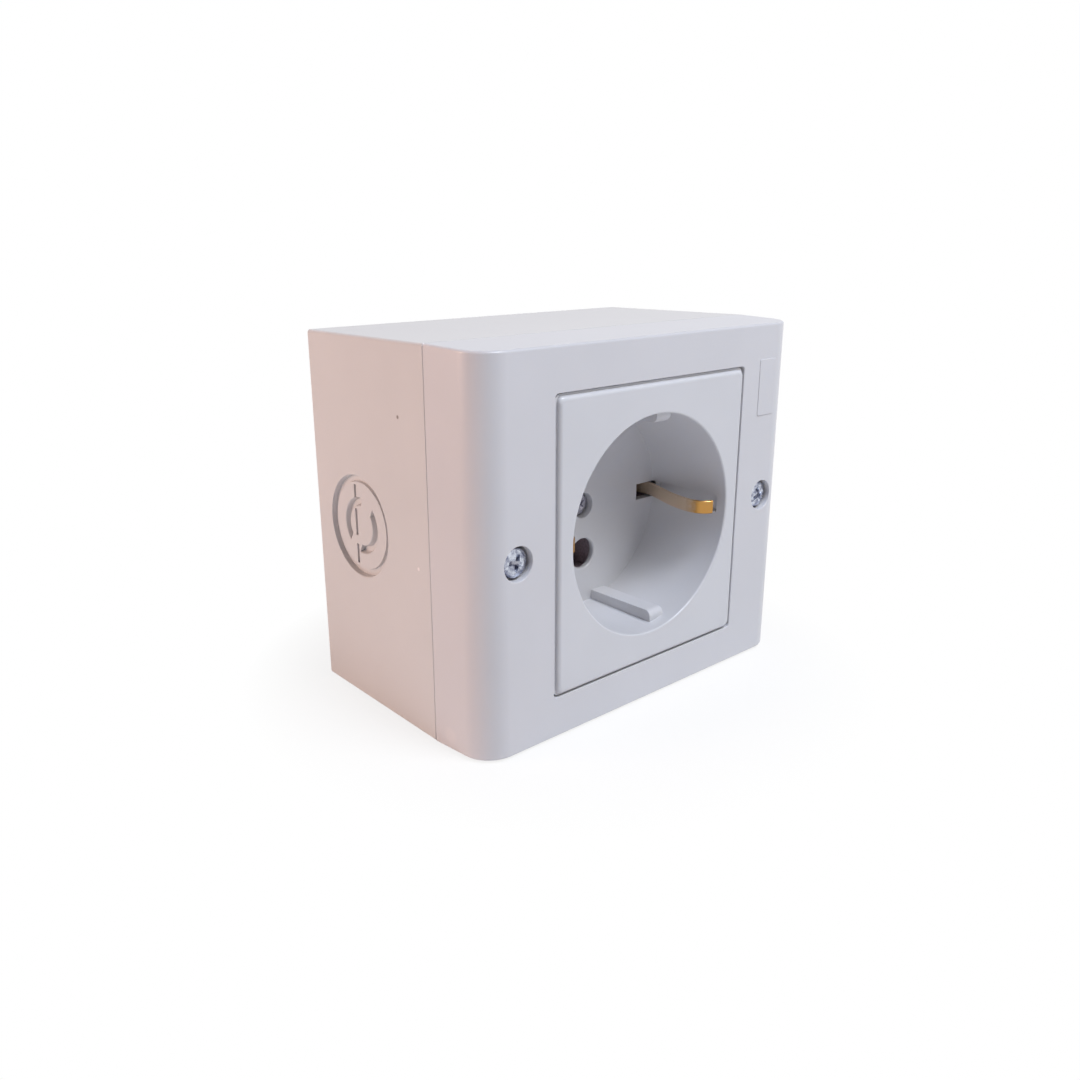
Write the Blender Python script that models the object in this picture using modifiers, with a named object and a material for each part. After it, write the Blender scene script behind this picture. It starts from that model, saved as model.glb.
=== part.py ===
"""Surface mounted earthed socket: wall box, cover, plug well and the parts inside them.

X points right, Y into the wall and Z up. The origin is the centre of the face on the wall.
"""
import math

import bmesh
import bpy
from mathutils import Matrix, Vector

MM = 0.001

# Clearance between pieces that touch, and round screws in their holes
TOUCH_GAP = 0.3 * MM
# How far a shape that is joined or cut reaches into or past its neighbour
OVERRUN = 1.0 * MM
# Places closer than this count as the same
TINY = 0.001 * MM

# Housing, measured at the seam between box and cover
SEAM_WIDTH = 77.8 * MM
SEAM_HEIGHT = 66.7 * MM
COVER_DEPTH = 12.8 * MM
BOX_DEPTH = 35.1 * MM
COVER_DRAFT = 0.35 * MM
BOX_DRAFT = 0.45 * MM
COVER_WALL = 2.2 * MM
BOX_WALL = 2.4 * MM
UPRIGHT_EDGE_RADIUS = 5.4 * MM
CORNER_RADIUS = 0.4 * MM
LIP_WALL = 1.1 * MM
TONGUE_HEIGHT = 2.4 * MM

# Window in the cover, and the pad beside it
WINDOW_WIDTH = 47.2 * MM
WINDOW_HEIGHT = 51.3 * MM
WINDOW_CORNER = 0.7 * MM
COLLAR_WALL = 1.2 * MM
COLLAR_DEPTH = 5.5 * MM
PAD_WIDTH = 6.3 * MM
PAD_HEIGHT = 11.2 * MM
PAD_RISE = 21.2 * MM
PAD_PROUD = 0.3 * MM

# Cover screws, with their bosses in the cover and their posts and bushes in the box
COVER_HEAD_RADIUS = 2.45 * MM
COVER_HEAD_CLEARANCE = 0.45 * MM
COVER_HEAD_HEIGHT = 1.7 * MM
COVER_HEAD_SINK = 0.7 * MM
COVER_SHANK_RADIUS = 1.6 * MM
COVER_SHANK_LENGTH = 19.0 * MM
BOSS_WALL = 1.3 * MM
WEB_WIDTH = 1.4 * MM
BUSH_WALL = 0.9 * MM
BUSH_LENGTH = 7.0 * MM
POST_WALL = 1.3 * MM

# Socket plate
PLATE_SIDE_GAP = 0.6 * MM
PLATE_END_GAP = 0.5 * MM
PLATE_PROUD = 0.4 * MM
PLATE_THICKNESS = 2.2 * MM
PLATE_EDGE = 0.8 * MM
PLATE_CORNER = 1.0 * MM
SKIRT_WALL = 1.2 * MM
SKIRT_DEPTH = 5.3 * MM

# Plug well
WELL_RADIUS = 19.8 * MM
WELL_DEPTH = 18.0 * MM
WELL_DRAFT = 0.4 * MM
WELL_WALL = 1.5 * MM
WELL_FLOOR = 1.8 * MM
WELL_LIP = 0.25 * MM
WELL_FILLET = 0.5 * MM
PIN_SPACING = 19.0 * MM
PIN_LENGTH = 19.0 * MM
PIN_HOLE_RADIUS = 2.95 * MM
PIN_HOLE_LEAD = 0.4 * MM
RIB_OFFSET = 2.4 * MM
RIB_WIDTH = 3.6 * MM
RIB_HEIGHT = 2.5 * MM
RIB_SETBACK = 3.2 * MM
RIB_NOSE = 1.3 * MM

# Earth slots in the well, and the strap that comes through them
EARTH_SLOT_WIDTH = 3.5 * MM
EARTH_SLOT_LENGTH = 4.8 * MM
EARTH_WINDOW = 3.8 * MM
EARTH_GROOVE_SINK = 0.9 * MM
EARTH_GROOVE_SETBACK = 2.1 * MM
STRAP_THICKNESS = 0.7 * MM
STRAP_WIDTH = 5.6 * MM
CLIP_WIDTH = 2.8 * MM
CLIP_INSET = 0.6 * MM
CLIP_BULGE = 2.9 * MM
CLIP_BULGE_SETBACK = 4.9 * MM
CLIP_TIP_RETURN = 1.9 * MM
CLIP_TIP_SETBACK = 1.8 * MM

# Screw in the middle of the well's floor, and its square nut
PLATE_HEAD_RADIUS = 2.1 * MM
PLATE_HEAD_HEIGHT = 1.3 * MM
PLATE_HEAD_SINK = 1.0 * MM
PLATE_SHANK_RADIUS = 1.4 * MM
PLATE_BOSS_WALL = 1.2 * MM
PLATE_BOSS_FLOOR = 1.0 * MM
NUT_WIDTH = 5.5 * MM
NUT_THICKNESS = 1.8 * MM

# Contact base
BASE_EDGE = 1.0 * MM
BASE_END_WALL = 1.2 * MM
BASE_SIDE_WALL = 2.0 * MM
BASE_FLOOR = 3.2 * MM
POCKET_HEIGHT = 8.2 * MM
EAR_WIDTH = 11.0 * MM
EAR_SETBACK = 3.0 * MM
EAR_THICKNESS = 3.0 * MM
EAR_MARGIN = 3.3 * MM
BASE_SCREW_INSET = 6.85 * MM
BASE_HEAD_RADIUS = 2.6 * MM
BASE_HEAD_HEIGHT = 1.6 * MM
BASE_SHANK_RADIUS = 1.4 * MM
BASE_SHANK_LENGTH = 12.0 * MM

# Forked contacts and their terminals
PIN_TIP_SPACE = 0.6 * MM
CONTACT_THICKNESS = 0.6 * MM
CONTACT_HEIGHT = 6.4 * MM
CONTACT_GRIP = 2.2 * MM
CONTACT_SHOULDER = 3.2 * MM
CONTACT_SETBACK = 4.0 * MM
TERMINAL_PLATE = 0.8 * MM
TERMINAL_END_GAP = 0.7 * MM
TERMINAL_WIDTH = 7.4 * MM
CLAMP_THICKNESS = 1.0 * MM
WIRE_SPACE = 2.4 * MM
WIRE_HOLE_RADIUS = 1.7 * MM
TERMINAL_HEAD_RADIUS = 2.8 * MM
TERMINAL_HEAD_HEIGHT = 1.9 * MM
TERMINAL_SHANK_RADIUS = 1.5 * MM
TERMINAL_TIP = 1.2 * MM

# Cable knock-outs in the sides and the back, and the slots for wall screws
KNOCKOUT_FROM_WALL = 13.9 * MM
KNOCKOUT_RADIUS = 9.1 * MM
KNOCKOUT_GROOVE = 1.4 * MM
KNOCKOUT_INNER_RADIUS = 5.1 * MM
KNOCKOUT_INNER_GROOVE = 1.3 * MM
KNOCKOUT_SINK = 1.2 * MM
KNOCKOUT_DISC_SINK = 0.5 * MM
KNOCKOUT_BRIDGE = 3.2 * MM
KNOCKOUT_BRIDGE_ANGLE = math.radians(28)
SLIT_WIDTH = 0.55 * MM
SLIT_BREAK = 1.6 * MM
SLIT_OFFSET = 1.2 * MM
REAR_KNOCKOUT_RADIUS = 10.0 * MM
REAR_KNOCKOUT_GROOVE = 1.2 * MM
REAR_KNOCKOUT_SINK = 1.2 * MM
FIXING_SLOT_OFFSET = 20.0 * MM
FIXING_SLOT_WIDTH = 5.0 * MM
FIXING_SLOT_LENGTH = 10.0 * MM

# Recesses in the screw heads
CROSS_WIDTH = 0.8 * MM
CROSS_SINK = 1.0 * MM
CROSS_MARGIN = 0.8 * MM
SLOT_SINK = 0.8 * MM

# Roundness of the turned shapes
WELL_STEPS = 64
RING_STEPS = 48
HOLE_STEPS = 32
SCREW_STEPS = 24

# Depths behind the cover's front face, from the front to the wall
TOTAL_DEPTH = COVER_DEPTH + TOUCH_GAP + BOX_DEPTH
BOX_FRONT = COVER_DEPTH + TOUCH_GAP
BOX_FLOOR = TOTAL_DEPTH - BOX_WALL
PLATE_FRONT = -PLATE_PROUD
WELL_BOTTOM = PLATE_FRONT + WELL_DEPTH
WELL_BACK = WELL_BOTTOM + WELL_FLOOR
BASE_FRONT = WELL_BACK + TOUCH_GAP
METAL_FRONT = WELL_BOTTOM + PIN_LENGTH + PIN_TIP_SPACE
METAL_BACK = METAL_FRONT + TERMINAL_PLATE
POCKET_FLOOR = METAL_BACK + TOUCH_GAP
BASE_BACK = POCKET_FLOOR + BASE_FLOOR
EAR_FRONT = BASE_FRONT + EAR_SETBACK
EAR_BACK = EAR_FRONT + EAR_THICKNESS
PLATE_HEAD_FRONT = WELL_BOTTOM + PLATE_HEAD_SINK
PLATE_HEAD_BACK = PLATE_HEAD_FRONT + PLATE_HEAD_HEIGHT
PLATE_BOSS_BACK = PLATE_HEAD_BACK + TOUCH_GAP + PLATE_BOSS_FLOOR

# Places across the housing
COVER_SCREW_X = (SEAM_WIDTH + WINDOW_WIDTH) / 4
COVER_HEAD_BACK = COVER_HEAD_SINK + COVER_HEAD_HEIGHT
COVER_SCREW_END = COVER_HEAD_BACK + COVER_SHANK_LENGTH
COVER_HOLE_RADIUS = COVER_SHANK_RADIUS + TOUCH_GAP
BUSH_RADIUS = COVER_HOLE_RADIUS + BUSH_WALL
BUSH_HOLE_RADIUS = BUSH_RADIUS + TOUCH_GAP
PLATE_WIDTH = WINDOW_WIDTH - 2 * PLATE_SIDE_GAP
PLATE_HEIGHT = WINDOW_HEIGHT - 2 * PLATE_END_GAP
WELL_FLOOR_RADIUS = WELL_RADIUS - WELL_DRAFT
CLIP_ROOT_X = WELL_FLOOR_RADIUS - CLIP_INSET
PIN_Z = PIN_SPACING / 2
POCKET_END_X = CLIP_ROOT_X + STRAP_THICKNESS / 2 + 2 * TOUCH_GAP
BASE_WIDTH = 2 * (POCKET_END_X + BASE_END_WALL)
BASE_HEIGHT = 2 * (PIN_Z + POCKET_HEIGHT / 2 + BASE_SIDE_WALL)
BASE_SCREW_Z = SEAM_HEIGHT / 2 - BASE_SCREW_INSET
TERMINAL_X = POCKET_END_X - TERMINAL_END_GAP - TERMINAL_WIDTH / 2
TERMINAL_HEAD_BACK = METAL_FRONT - WIRE_SPACE - CLAMP_THICKNESS - TOUCH_GAP


def depth_to_y(depth):
    """World Y of a depth behind the cover's front face."""
    return depth - TOTAL_DEPTH


def clear_scene():
    for item in list(bpy.data.objects):
        bpy.data.objects.remove(item, do_unlink=True)


def make_collection(name):
    collection = bpy.data.collections.new(name)
    bpy.context.scene.collection.children.link(collection)
    return collection


def material(name, colour, roughness, metallic=0.0):
    made = bpy.data.materials.new(name)
    made.use_nodes = True
    shader = made.node_tree.nodes["Principled BSDF"]
    shader.inputs["Base Color"].default_value = (*colour, 1.0)
    shader.inputs["Roughness"].default_value = roughness
    shader.inputs["Metallic"].default_value = metallic
    made.diffuse_color = (*colour, 1.0)
    return made


def finish_object(name, bm):
    """Turn a bmesh into an object that is not yet in a collection."""
    bmesh.ops.recalc_face_normals(bm, faces=bm.faces)
    mesh = bpy.data.meshes.new(name)
    bm.to_mesh(mesh)
    bm.free()
    return bpy.data.objects.new(name, mesh)


def as_piece(obj, finish):
    """Put a finished piece in the socket's collection with its material."""
    SOCKET.objects.link(obj)
    obj.data.materials.clear()
    obj.data.materials.append(finish)
    obj.data.shade_smooth()
    obj.data.set_sharp_from_angle(angle=math.radians(35))
    return obj


def as_tool(obj):
    """Put a shape that only cuts or joins in the tools' collection, hidden."""
    TOOLS.objects.link(obj)
    obj.hide_render = True
    obj.display_type = "WIRE"
    return obj


def boolean(target, tool, operation):
    as_tool(tool)
    step = target.modifiers.new(tool.name, "BOOLEAN")
    step.object = tool
    step.operation = operation
    step.solver = "EXACT"


def cut(target, *tools):
    for tool in tools:
        boolean(target, tool, "DIFFERENCE")


def join(target, *tools):
    for tool in tools:
        boolean(target, tool, "UNION")


def block(name, x, depth, z):
    """A box between two X places, two depths and two heights."""
    bm = bmesh.new()
    bmesh.ops.create_cube(bm, size=1.0)
    size = (x[1] - x[0], depth[1] - depth[0], z[1] - z[0])
    middle = ((x[0] + x[1]) / 2, depth_to_y((depth[0] + depth[1]) / 2), (z[0] + z[1]) / 2)
    bmesh.ops.transform(bm, matrix=Matrix.Diagonal((*size, 1.0)), verts=bm.verts)
    bmesh.ops.translate(bm, vec=middle, verts=bm.verts)
    return finish_object(name, bm)


def centred_block(name, width, depth, height, x=0.0, z=0.0):
    return block(name, (x - width / 2, x + width / 2), depth, (z - height / 2, z + height / 2))


def round_edges(obj, chosen, radius, segments):
    """Round the edges of a mesh that pass a test."""
    bm = bmesh.new()
    bm.from_mesh(obj.data)
    bm.normal_update()
    edges = [edge for edge in bm.edges if chosen(edge)]
    bmesh.ops.bevel(bm, geom=edges, offset=radius, segments=segments, profile=0.5, affect="EDGES")
    bm.to_mesh(obj.data)
    bm.free()
    return obj


def at_depth(edge, depth):
    return all(abs(vertex.co.y - depth_to_y(depth)) < TINY for vertex in edge.verts)


def runs_along(edge, axis):
    """True where an edge is closer to this axis (0, 1 or 2) than to the others."""
    step = edge.verts[1].co - edge.verts[0].co
    return abs(step[axis]) > 0.9 * step.length


def bounds_end_face(edge):
    """True for an edge between the top or bottom face and a side or front face."""
    steep = [abs(face.normal.z) > 0.9 for face in edge.link_faces]
    return len(steep) == 2 and steep[0] != steep[1]


def drafted_block(name, near_size, far_size, depth):
    """A box with one size at its near end and another at its far end."""
    obj = centred_block(name, 1.0, depth, 1.0)
    near_y = depth_to_y(depth[0])
    for vertex in obj.data.vertices:
        size = near_size if abs(vertex.co.y - near_y) < TINY else far_size
        vertex.co.x = math.copysign(size[0] / 2, vertex.co.x)
        vertex.co.z = math.copysign(size[1] / 2, vertex.co.z)
    return obj


def rod(name, radius, depth, x=0.0, z=0.0, far_radius=None, steps=SCREW_STEPS):
    """A cylinder along the depth, or a cone where the far radius differs."""
    if far_radius is None:
        far_radius = radius
    bm = bmesh.new()
    bmesh.ops.create_cone(bm, cap_ends=True, segments=steps, depth=depth[1] - depth[0],
                          radius1=far_radius, radius2=radius)
    bmesh.ops.rotate(bm, matrix=Matrix.Rotation(math.pi / 2, 3, "X"), verts=bm.verts)
    middle = (x, depth_to_y((depth[0] + depth[1]) / 2), z)
    bmesh.ops.translate(bm, vec=middle, verts=bm.verts)
    return finish_object(name, bm)


def cross_rod(name, radius, x, depth, z):
    """A cylinder across the housing, between two X places."""
    bm = bmesh.new()
    bmesh.ops.create_cone(bm, cap_ends=True, segments=SCREW_STEPS, depth=x[1] - x[0],
                          radius1=radius, radius2=radius)
    bmesh.ops.rotate(bm, matrix=Matrix.Rotation(math.pi / 2, 3, "Y"), verts=bm.verts)
    bmesh.ops.translate(bm, vec=((x[0] + x[1]) / 2, depth_to_y(depth), z), verts=bm.verts)
    return finish_object(name, bm)


def turned(name, profile, closed, steps):
    """A shape turned about its own Z axis from (radius, height) points, top to bottom outside."""
    mesh = bpy.data.meshes.new(name)
    count = len(profile)
    edges = [(index, index + 1) for index in range(count - 1)]
    if closed:
        edges.append((count - 1, 0))
    mesh.from_pydata([(radius, 0.0, height) for radius, height in profile], edges, [])
    obj = bpy.data.objects.new(name, mesh)
    screw = obj.modifiers.new("turn", "SCREW")
    screw.angle = math.tau
    screw.steps = steps
    screw.render_steps = steps
    screw.use_merge_vertices = True
    screw.merge_threshold = TINY
    return obj


def ring(name, radius, width, sink):
    """A square groove cutter that sinks into the face at its own origin."""
    inner = radius - width
    profile = [(radius, OVERRUN), (radius, -sink), (inner, -sink), (inner, OVERRUN)]
    return turned(name, profile, True, RING_STEPS)


def face_front(obj, x, depth, z):
    """Place a turned shape with its own Z axis towards the front."""
    obj.location = (x, depth_to_y(depth), z)
    obj.rotation_euler = (math.pi / 2, 0.0, 0.0)
    return obj


def smooth_path(points, steps):
    """Points along a smooth curve through the given ones."""
    path = []
    for index in range(len(points) - 1):
        before = Vector(points[max(index - 1, 0)])
        start = Vector(points[index])
        end = Vector(points[index + 1])
        after = Vector(points[min(index + 2, len(points) - 1)])
        for step in range(steps):
            t = step / steps
            leave = (end - before) * 0.5
            reach = (after - start) * 0.5
            path.append(start * (2 * t**3 - 3 * t**2 + 1) + leave * (t**3 - 2 * t**2 + t)
                        + end * (3 * t**2 - 2 * t**3) + reach * (t**3 - t**2))
    path.append(Vector(points[-1]))
    return path


def strip(name, path, width, thickness, z=0.0):
    """Sheet metal bent along a path of (X, depth) points, standing on edge about a height."""
    bm = bmesh.new()
    low = [bm.verts.new((x, depth_to_y(depth), z - width / 2)) for x, depth in path]
    edges = [bm.edges.new(pair) for pair in zip(low, low[1:])]
    raised = bmesh.ops.extrude_edge_only(bm, edges=edges)["geom"]
    top = [item for item in raised if isinstance(item, bmesh.types.BMVert)]
    bmesh.ops.translate(bm, vec=(0.0, 0.0, width), verts=top)
    obj = finish_object(name, bm)
    sheet = obj.modifiers.new("sheet", "SOLIDIFY")
    sheet.thickness = thickness
    sheet.offset = 0.0
    sheet.use_even_offset = True
    return obj


def slot_cutter(name, width, length, depth, x, upright):
    size = (width, length) if upright else (length, width)
    obj = centred_block(name, size[0], depth, size[1], x=x)
    return round_edges(obj, lambda edge: runs_along(edge, 1), width * 0.499, 5)


def side_knockout(side):
    """Sunk disc, ring grooves and slits of a cable knock-out, cut from outside into a side wall."""
    depth = TOTAL_DEPTH - KNOCKOUT_FROM_WALL
    face_x = SEAM_WIDTH / 2 - BOX_DRAFT * (depth - BOX_FRONT) / BOX_DEPTH
    disc_x = sorted((side * (face_x - KNOCKOUT_DISC_SINK), side * (face_x + OVERRUN)))
    disc = cross_rod("knockout_disc", KNOCKOUT_RADIUS - KNOCKOUT_GROOVE / 2, disc_x, depth, 0.0)
    outer = ring("knockout_groove", KNOCKOUT_RADIUS, KNOCKOUT_GROOVE, KNOCKOUT_SINK)
    inner = ring("knockout_inner_groove", KNOCKOUT_INNER_RADIUS, KNOCKOUT_INNER_GROOVE, KNOCKOUT_SINK)
    for groove in (outer, inner):
        groove.location = (side * face_x, depth_to_y(depth), 0.0)
        groove.rotation_euler = (0.0, side * math.pi / 2, 0.0)
    bar = centred_block("knockout_bridge", 4 * OVERRUN, (0.0, KNOCKOUT_BRIDGE), 4 * KNOCKOUT_INNER_RADIUS)
    bar.data.transform(Matrix.Translation((0.0, TOTAL_DEPTH - KNOCKOUT_BRIDGE / 2, 0.0)))
    bar.location = (side * face_x, depth_to_y(depth), 0.0)
    bar.rotation_euler = (KNOCKOUT_BRIDGE_ANGLE, 0.0, 0.0)
    cut(inner, bar)
    inside = KNOCKOUT_INNER_RADIUS - KNOCKOUT_INNER_GROOVE
    reach = KNOCKOUT_RADIUS - KNOCKOUT_GROOVE / 2
    spans = [(inside, reach), (-inside + SLIT_BREAK, inside - SLIT_BREAK / 2), (-reach, -inside)]
    x = sorted((side * (face_x - KNOCKOUT_SINK), side * (face_x + OVERRUN)))
    middle = depth + SLIT_OFFSET
    across = (middle - SLIT_WIDTH / 2, middle + SLIT_WIDTH / 2)
    slits = [block("knockout_slit", x, across, span) for span in spans]
    return [disc, outer, inner, *slits]


def back_box():
    """Wall box: tapered shell with a tongue, screw posts, knock-outs and wall slots."""
    inner_size = (SEAM_WIDTH - 2 * BOX_WALL, SEAM_HEIGHT - 2 * BOX_WALL)
    box = drafted_block("back_box", (SEAM_WIDTH, SEAM_HEIGHT),
                        (SEAM_WIDTH - 2 * BOX_DRAFT, SEAM_HEIGHT - 2 * BOX_DRAFT),
                        (BOX_FRONT, TOTAL_DEPTH))
    round_edges(box, lambda edge: runs_along(edge, 1), CORNER_RADIUS, 3)
    tongue = centred_block("tongue", SEAM_WIDTH - 2 * (LIP_WALL + TOUCH_GAP),
                           (BOX_FRONT - TONGUE_HEIGHT, BOX_FRONT + OVERRUN),
                           SEAM_HEIGHT - 2 * (LIP_WALL + TOUCH_GAP))
    join(box, tongue)
    cut(box, drafted_block("box_cavity", inner_size,
                           (inner_size[0] - 2 * BOX_DRAFT, inner_size[1] - 2 * BOX_DRAFT),
                           (BOX_FRONT - TONGUE_HEIGHT - OVERRUN, BOX_FLOOR)))
    for side in (-1, 1):
        x = side * COVER_SCREW_X
        wall_x = side * (SEAM_WIDTH - BOX_WALL - 2 * BOX_DRAFT) / 2
        rooted = (BOX_FRONT, BOX_FLOOR + BOX_WALL / 2)
        join(box, block("post_web", sorted((x, wall_x)), (BOX_FRONT + OVERRUN, rooted[1]),
                        (-WEB_WIDTH / 2, WEB_WIDTH / 2)))
        join(box, rod("cover_post", BUSH_HOLE_RADIUS + POST_WALL, rooted, x=x))
        cut(box, rod("bush_hole", BUSH_HOLE_RADIUS,
                     (BOX_FRONT - OVERRUN, BOX_FRONT + BUSH_LENGTH + 2 * TOUCH_GAP), x=x))
        cut(box, rod("cover_screw_pilot", COVER_HOLE_RADIUS,
                     (BOX_FRONT, COVER_SCREW_END + OVERRUN), x=x))
        z = side * BASE_SCREW_Z
        pilot_radius = BASE_SHANK_RADIUS + TOUCH_GAP
        join(box, rod("base_post", pilot_radius + POST_WALL, (EAR_BACK + TOUCH_GAP, rooted[1]), z=z))
        pilot_end = EAR_FRONT - TOUCH_GAP + BASE_SHANK_LENGTH + OVERRUN
        cut(box, rod("base_screw_pilot", pilot_radius, (EAR_BACK - OVERRUN, pilot_end), z=z))
        cut(box, *side_knockout(side))
        cut(box, slot_cutter("fixing_slot", FIXING_SLOT_WIDTH, FIXING_SLOT_LENGTH,
                             (BOX_FLOOR - OVERRUN, TOTAL_DEPTH + OVERRUN),
                             side * FIXING_SLOT_OFFSET, side < 0))
    rear = ring("rear_knockout", REAR_KNOCKOUT_RADIUS, REAR_KNOCKOUT_GROOVE, REAR_KNOCKOUT_SINK)
    cut(box, face_front(rear, 0.0, BOX_FLOOR, 0.0))
    return as_piece(box, WHITE_ABS)


def front_cover():
    """Cover: tapered shell with two well rounded upright edges, a window and screw bosses."""
    near_size = (SEAM_WIDTH - 2 * COVER_DRAFT, SEAM_HEIGHT - 2 * COVER_DRAFT)
    cover = drafted_block("front_cover", near_size, (SEAM_WIDTH, SEAM_HEIGHT), (0.0, COVER_DEPTH))
    round_edges(cover, lambda edge: at_depth(edge, 0.0) and runs_along(edge, 2), UPRIGHT_EDGE_RADIUS, 8)
    round_edges(cover, lambda edge: bounds_end_face(edge) and not at_depth(edge, COVER_DEPTH),
                CORNER_RADIUS, 3)
    inner_near = (near_size[0] - 2 * COVER_WALL, near_size[1] - 2 * COVER_WALL)
    inner_far = (SEAM_WIDTH - 2 * COVER_WALL, SEAM_HEIGHT - 2 * COVER_WALL)
    cavity = drafted_block("cover_cavity", inner_near, inner_far, (COVER_WALL, COVER_DEPTH + OVERRUN))
    round_edges(cavity, lambda edge: at_depth(edge, COVER_WALL) and runs_along(edge, 2),
                UPRIGHT_EDGE_RADIUS - COVER_WALL, 6)
    rebate = centred_block("cover_rebate", SEAM_WIDTH - 2 * LIP_WALL,
                           (COVER_DEPTH - TONGUE_HEIGHT - TOUCH_GAP, COVER_DEPTH + OVERRUN),
                           SEAM_HEIGHT - 2 * LIP_WALL)
    cut(cover, cavity, rebate)
    join(cover, centred_block("window_collar", WINDOW_WIDTH + 2 * COLLAR_WALL,
                              (COVER_WALL / 2, COLLAR_DEPTH), WINDOW_HEIGHT + 2 * COLLAR_WALL))
    head_hole_radius = COVER_HEAD_RADIUS + COVER_HEAD_CLEARANCE
    for side in (-1, 1):
        x = side * COVER_SCREW_X
        wall_x = side * (SEAM_WIDTH - COVER_WALL - 2 * COVER_DRAFT) / 2
        web_depth = (UPRIGHT_EDGE_RADIUS, COVER_DEPTH - TONGUE_HEIGHT - OVERRUN)
        join(cover, block("boss_web", sorted((x, wall_x)), web_depth, (-WEB_WIDTH / 2, WEB_WIDTH / 2)))
        join(cover, rod("cover_boss", head_hole_radius + BOSS_WALL, (COVER_WALL / 2, COVER_DEPTH), x=x))
    window = centred_block("window", WINDOW_WIDTH, (-OVERRUN, COVER_DEPTH), WINDOW_HEIGHT)
    cut(cover, round_edges(window, lambda edge: runs_along(edge, 1), WINDOW_CORNER, 3))
    for side in (-1, 1):
        x = side * COVER_SCREW_X
        cut(cover, rod("head_hole", head_hole_radius, (-OVERRUN, COVER_HEAD_BACK + TOUCH_GAP), x=x,
                       steps=HOLE_STEPS))
        cut(cover, rod("shank_hole", COVER_HOLE_RADIUS, (0.0, COVER_DEPTH + OVERRUN), x=x))
    join(cover, centred_block("bare_pad", PAD_WIDTH, (-PAD_PROUD, COVER_WALL / 2), PAD_HEIGHT,
                              x=COVER_SCREW_X, z=PAD_RISE))
    return as_piece(cover, WHITE_ABS)


def well_cavity():
    """The plug's space: a slightly tapered round well with a lip and a small fillet."""
    profile = [(0.0, OVERRUN), (WELL_RADIUS + WELL_LIP, OVERRUN), (WELL_RADIUS + WELL_LIP, 0.0),
               (WELL_RADIUS, -WELL_LIP), (WELL_FLOOR_RADIUS, -WELL_DEPTH + WELL_FILLET),
               (WELL_FLOOR_RADIUS - WELL_FILLET, -WELL_DEPTH), (0.0, -WELL_DEPTH)]
    return face_front(turned("well_cavity", profile, False, WELL_STEPS), 0.0, PLATE_FRONT, 0.0)


def guide_rib(side):
    """Rib beside the pin axis that guides the plug, with a rounded nose at the front."""
    inner_z = WELL_RADIUS - RIB_HEIGHT
    outer_z = WELL_RADIUS + WELL_WALL / 2
    rib = block("guide_rib", (RIB_OFFSET, RIB_OFFSET + RIB_WIDTH),
                (PLATE_FRONT + RIB_SETBACK, WELL_BOTTOM + WELL_FLOOR / 2),
                sorted((side * inner_z, side * outer_z)))

    def is_nose(edge):
        inner = all(abs(abs(vertex.co.z) - inner_z) < TINY for vertex in edge.verts)
        return inner and at_depth(edge, PLATE_FRONT + RIB_SETBACK)

    return round_edges(rib, is_nose, RIB_NOSE, 4)


def socket_plate():
    """Plate and plug well in one moulding."""
    plate = centred_block("socket_plate", PLATE_WIDTH, (PLATE_FRONT, PLATE_FRONT + SKIRT_DEPTH), PLATE_HEIGHT)
    round_edges(plate, lambda edge: runs_along(edge, 1), PLATE_CORNER, 3)
    round_edges(plate, lambda edge: at_depth(edge, PLATE_FRONT), PLATE_EDGE, 3)
    cut(plate, centred_block("plate_hollow", PLATE_WIDTH - 2 * SKIRT_WALL,
                             (PLATE_FRONT + PLATE_THICKNESS, PLATE_FRONT + SKIRT_DEPTH + OVERRUN),
                             PLATE_HEIGHT - 2 * SKIRT_WALL))
    join(plate, rod("well_body", WELL_RADIUS + WELL_WALL, (PLATE_FRONT + PLATE_THICKNESS / 2, WELL_BACK),
                    steps=WELL_STEPS))
    boss_radius = PLATE_HEAD_RADIUS + TOUCH_GAP + PLATE_BOSS_WALL
    join(plate, rod("plate_boss", boss_radius, (WELL_BOTTOM + WELL_FLOOR / 2, PLATE_BOSS_BACK)))
    cut(plate, well_cavity())
    for side in (-1, 1):
        join(plate, guide_rib(side))
        z = side * PIN_Z
        cut(plate, rod("pin_hole", PIN_HOLE_RADIUS, (WELL_BOTTOM - OVERRUN, WELL_BACK + OVERRUN), z=z,
                       steps=HOLE_STEPS))
        cut(plate, rod("pin_hole_lead", PIN_HOLE_RADIUS + 2 * PIN_HOLE_LEAD,
                       (WELL_BOTTOM - PIN_HOLE_LEAD, WELL_BOTTOM + PIN_HOLE_LEAD),
                       far_radius=PIN_HOLE_RADIUS, z=z, steps=HOLE_STEPS))
        height = (-EARTH_SLOT_WIDTH / 2, EARTH_SLOT_WIDTH / 2)
        slot_start = WELL_FLOOR_RADIUS - EARTH_SLOT_LENGTH
        slot_end = WELL_RADIUS + WELL_WALL + OVERRUN
        cut(plate, block("earth_slot", sorted((side * slot_start, side * slot_end)),
                         (WELL_BOTTOM - EARTH_WINDOW, WELL_BACK + OVERRUN), height))
        groove = sorted((side * slot_start, side * (WELL_RADIUS + EARTH_GROOVE_SINK)))
        cut(plate, block("earth_groove", groove,
                         (PLATE_FRONT + EARTH_GROOVE_SETBACK, WELL_BOTTOM - OVERRUN), height))
    cut(plate, rod("plate_head_hole", PLATE_HEAD_RADIUS + TOUCH_GAP,
                   (WELL_BOTTOM - OVERRUN, PLATE_HEAD_BACK + TOUCH_GAP)))
    cut(plate, rod("plate_shank_hole", PLATE_SHANK_RADIUS + TOUCH_GAP,
                   (WELL_BOTTOM, PLATE_BOSS_BACK + OVERRUN)))
    return as_piece(plate, WHITE_ABS)


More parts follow.
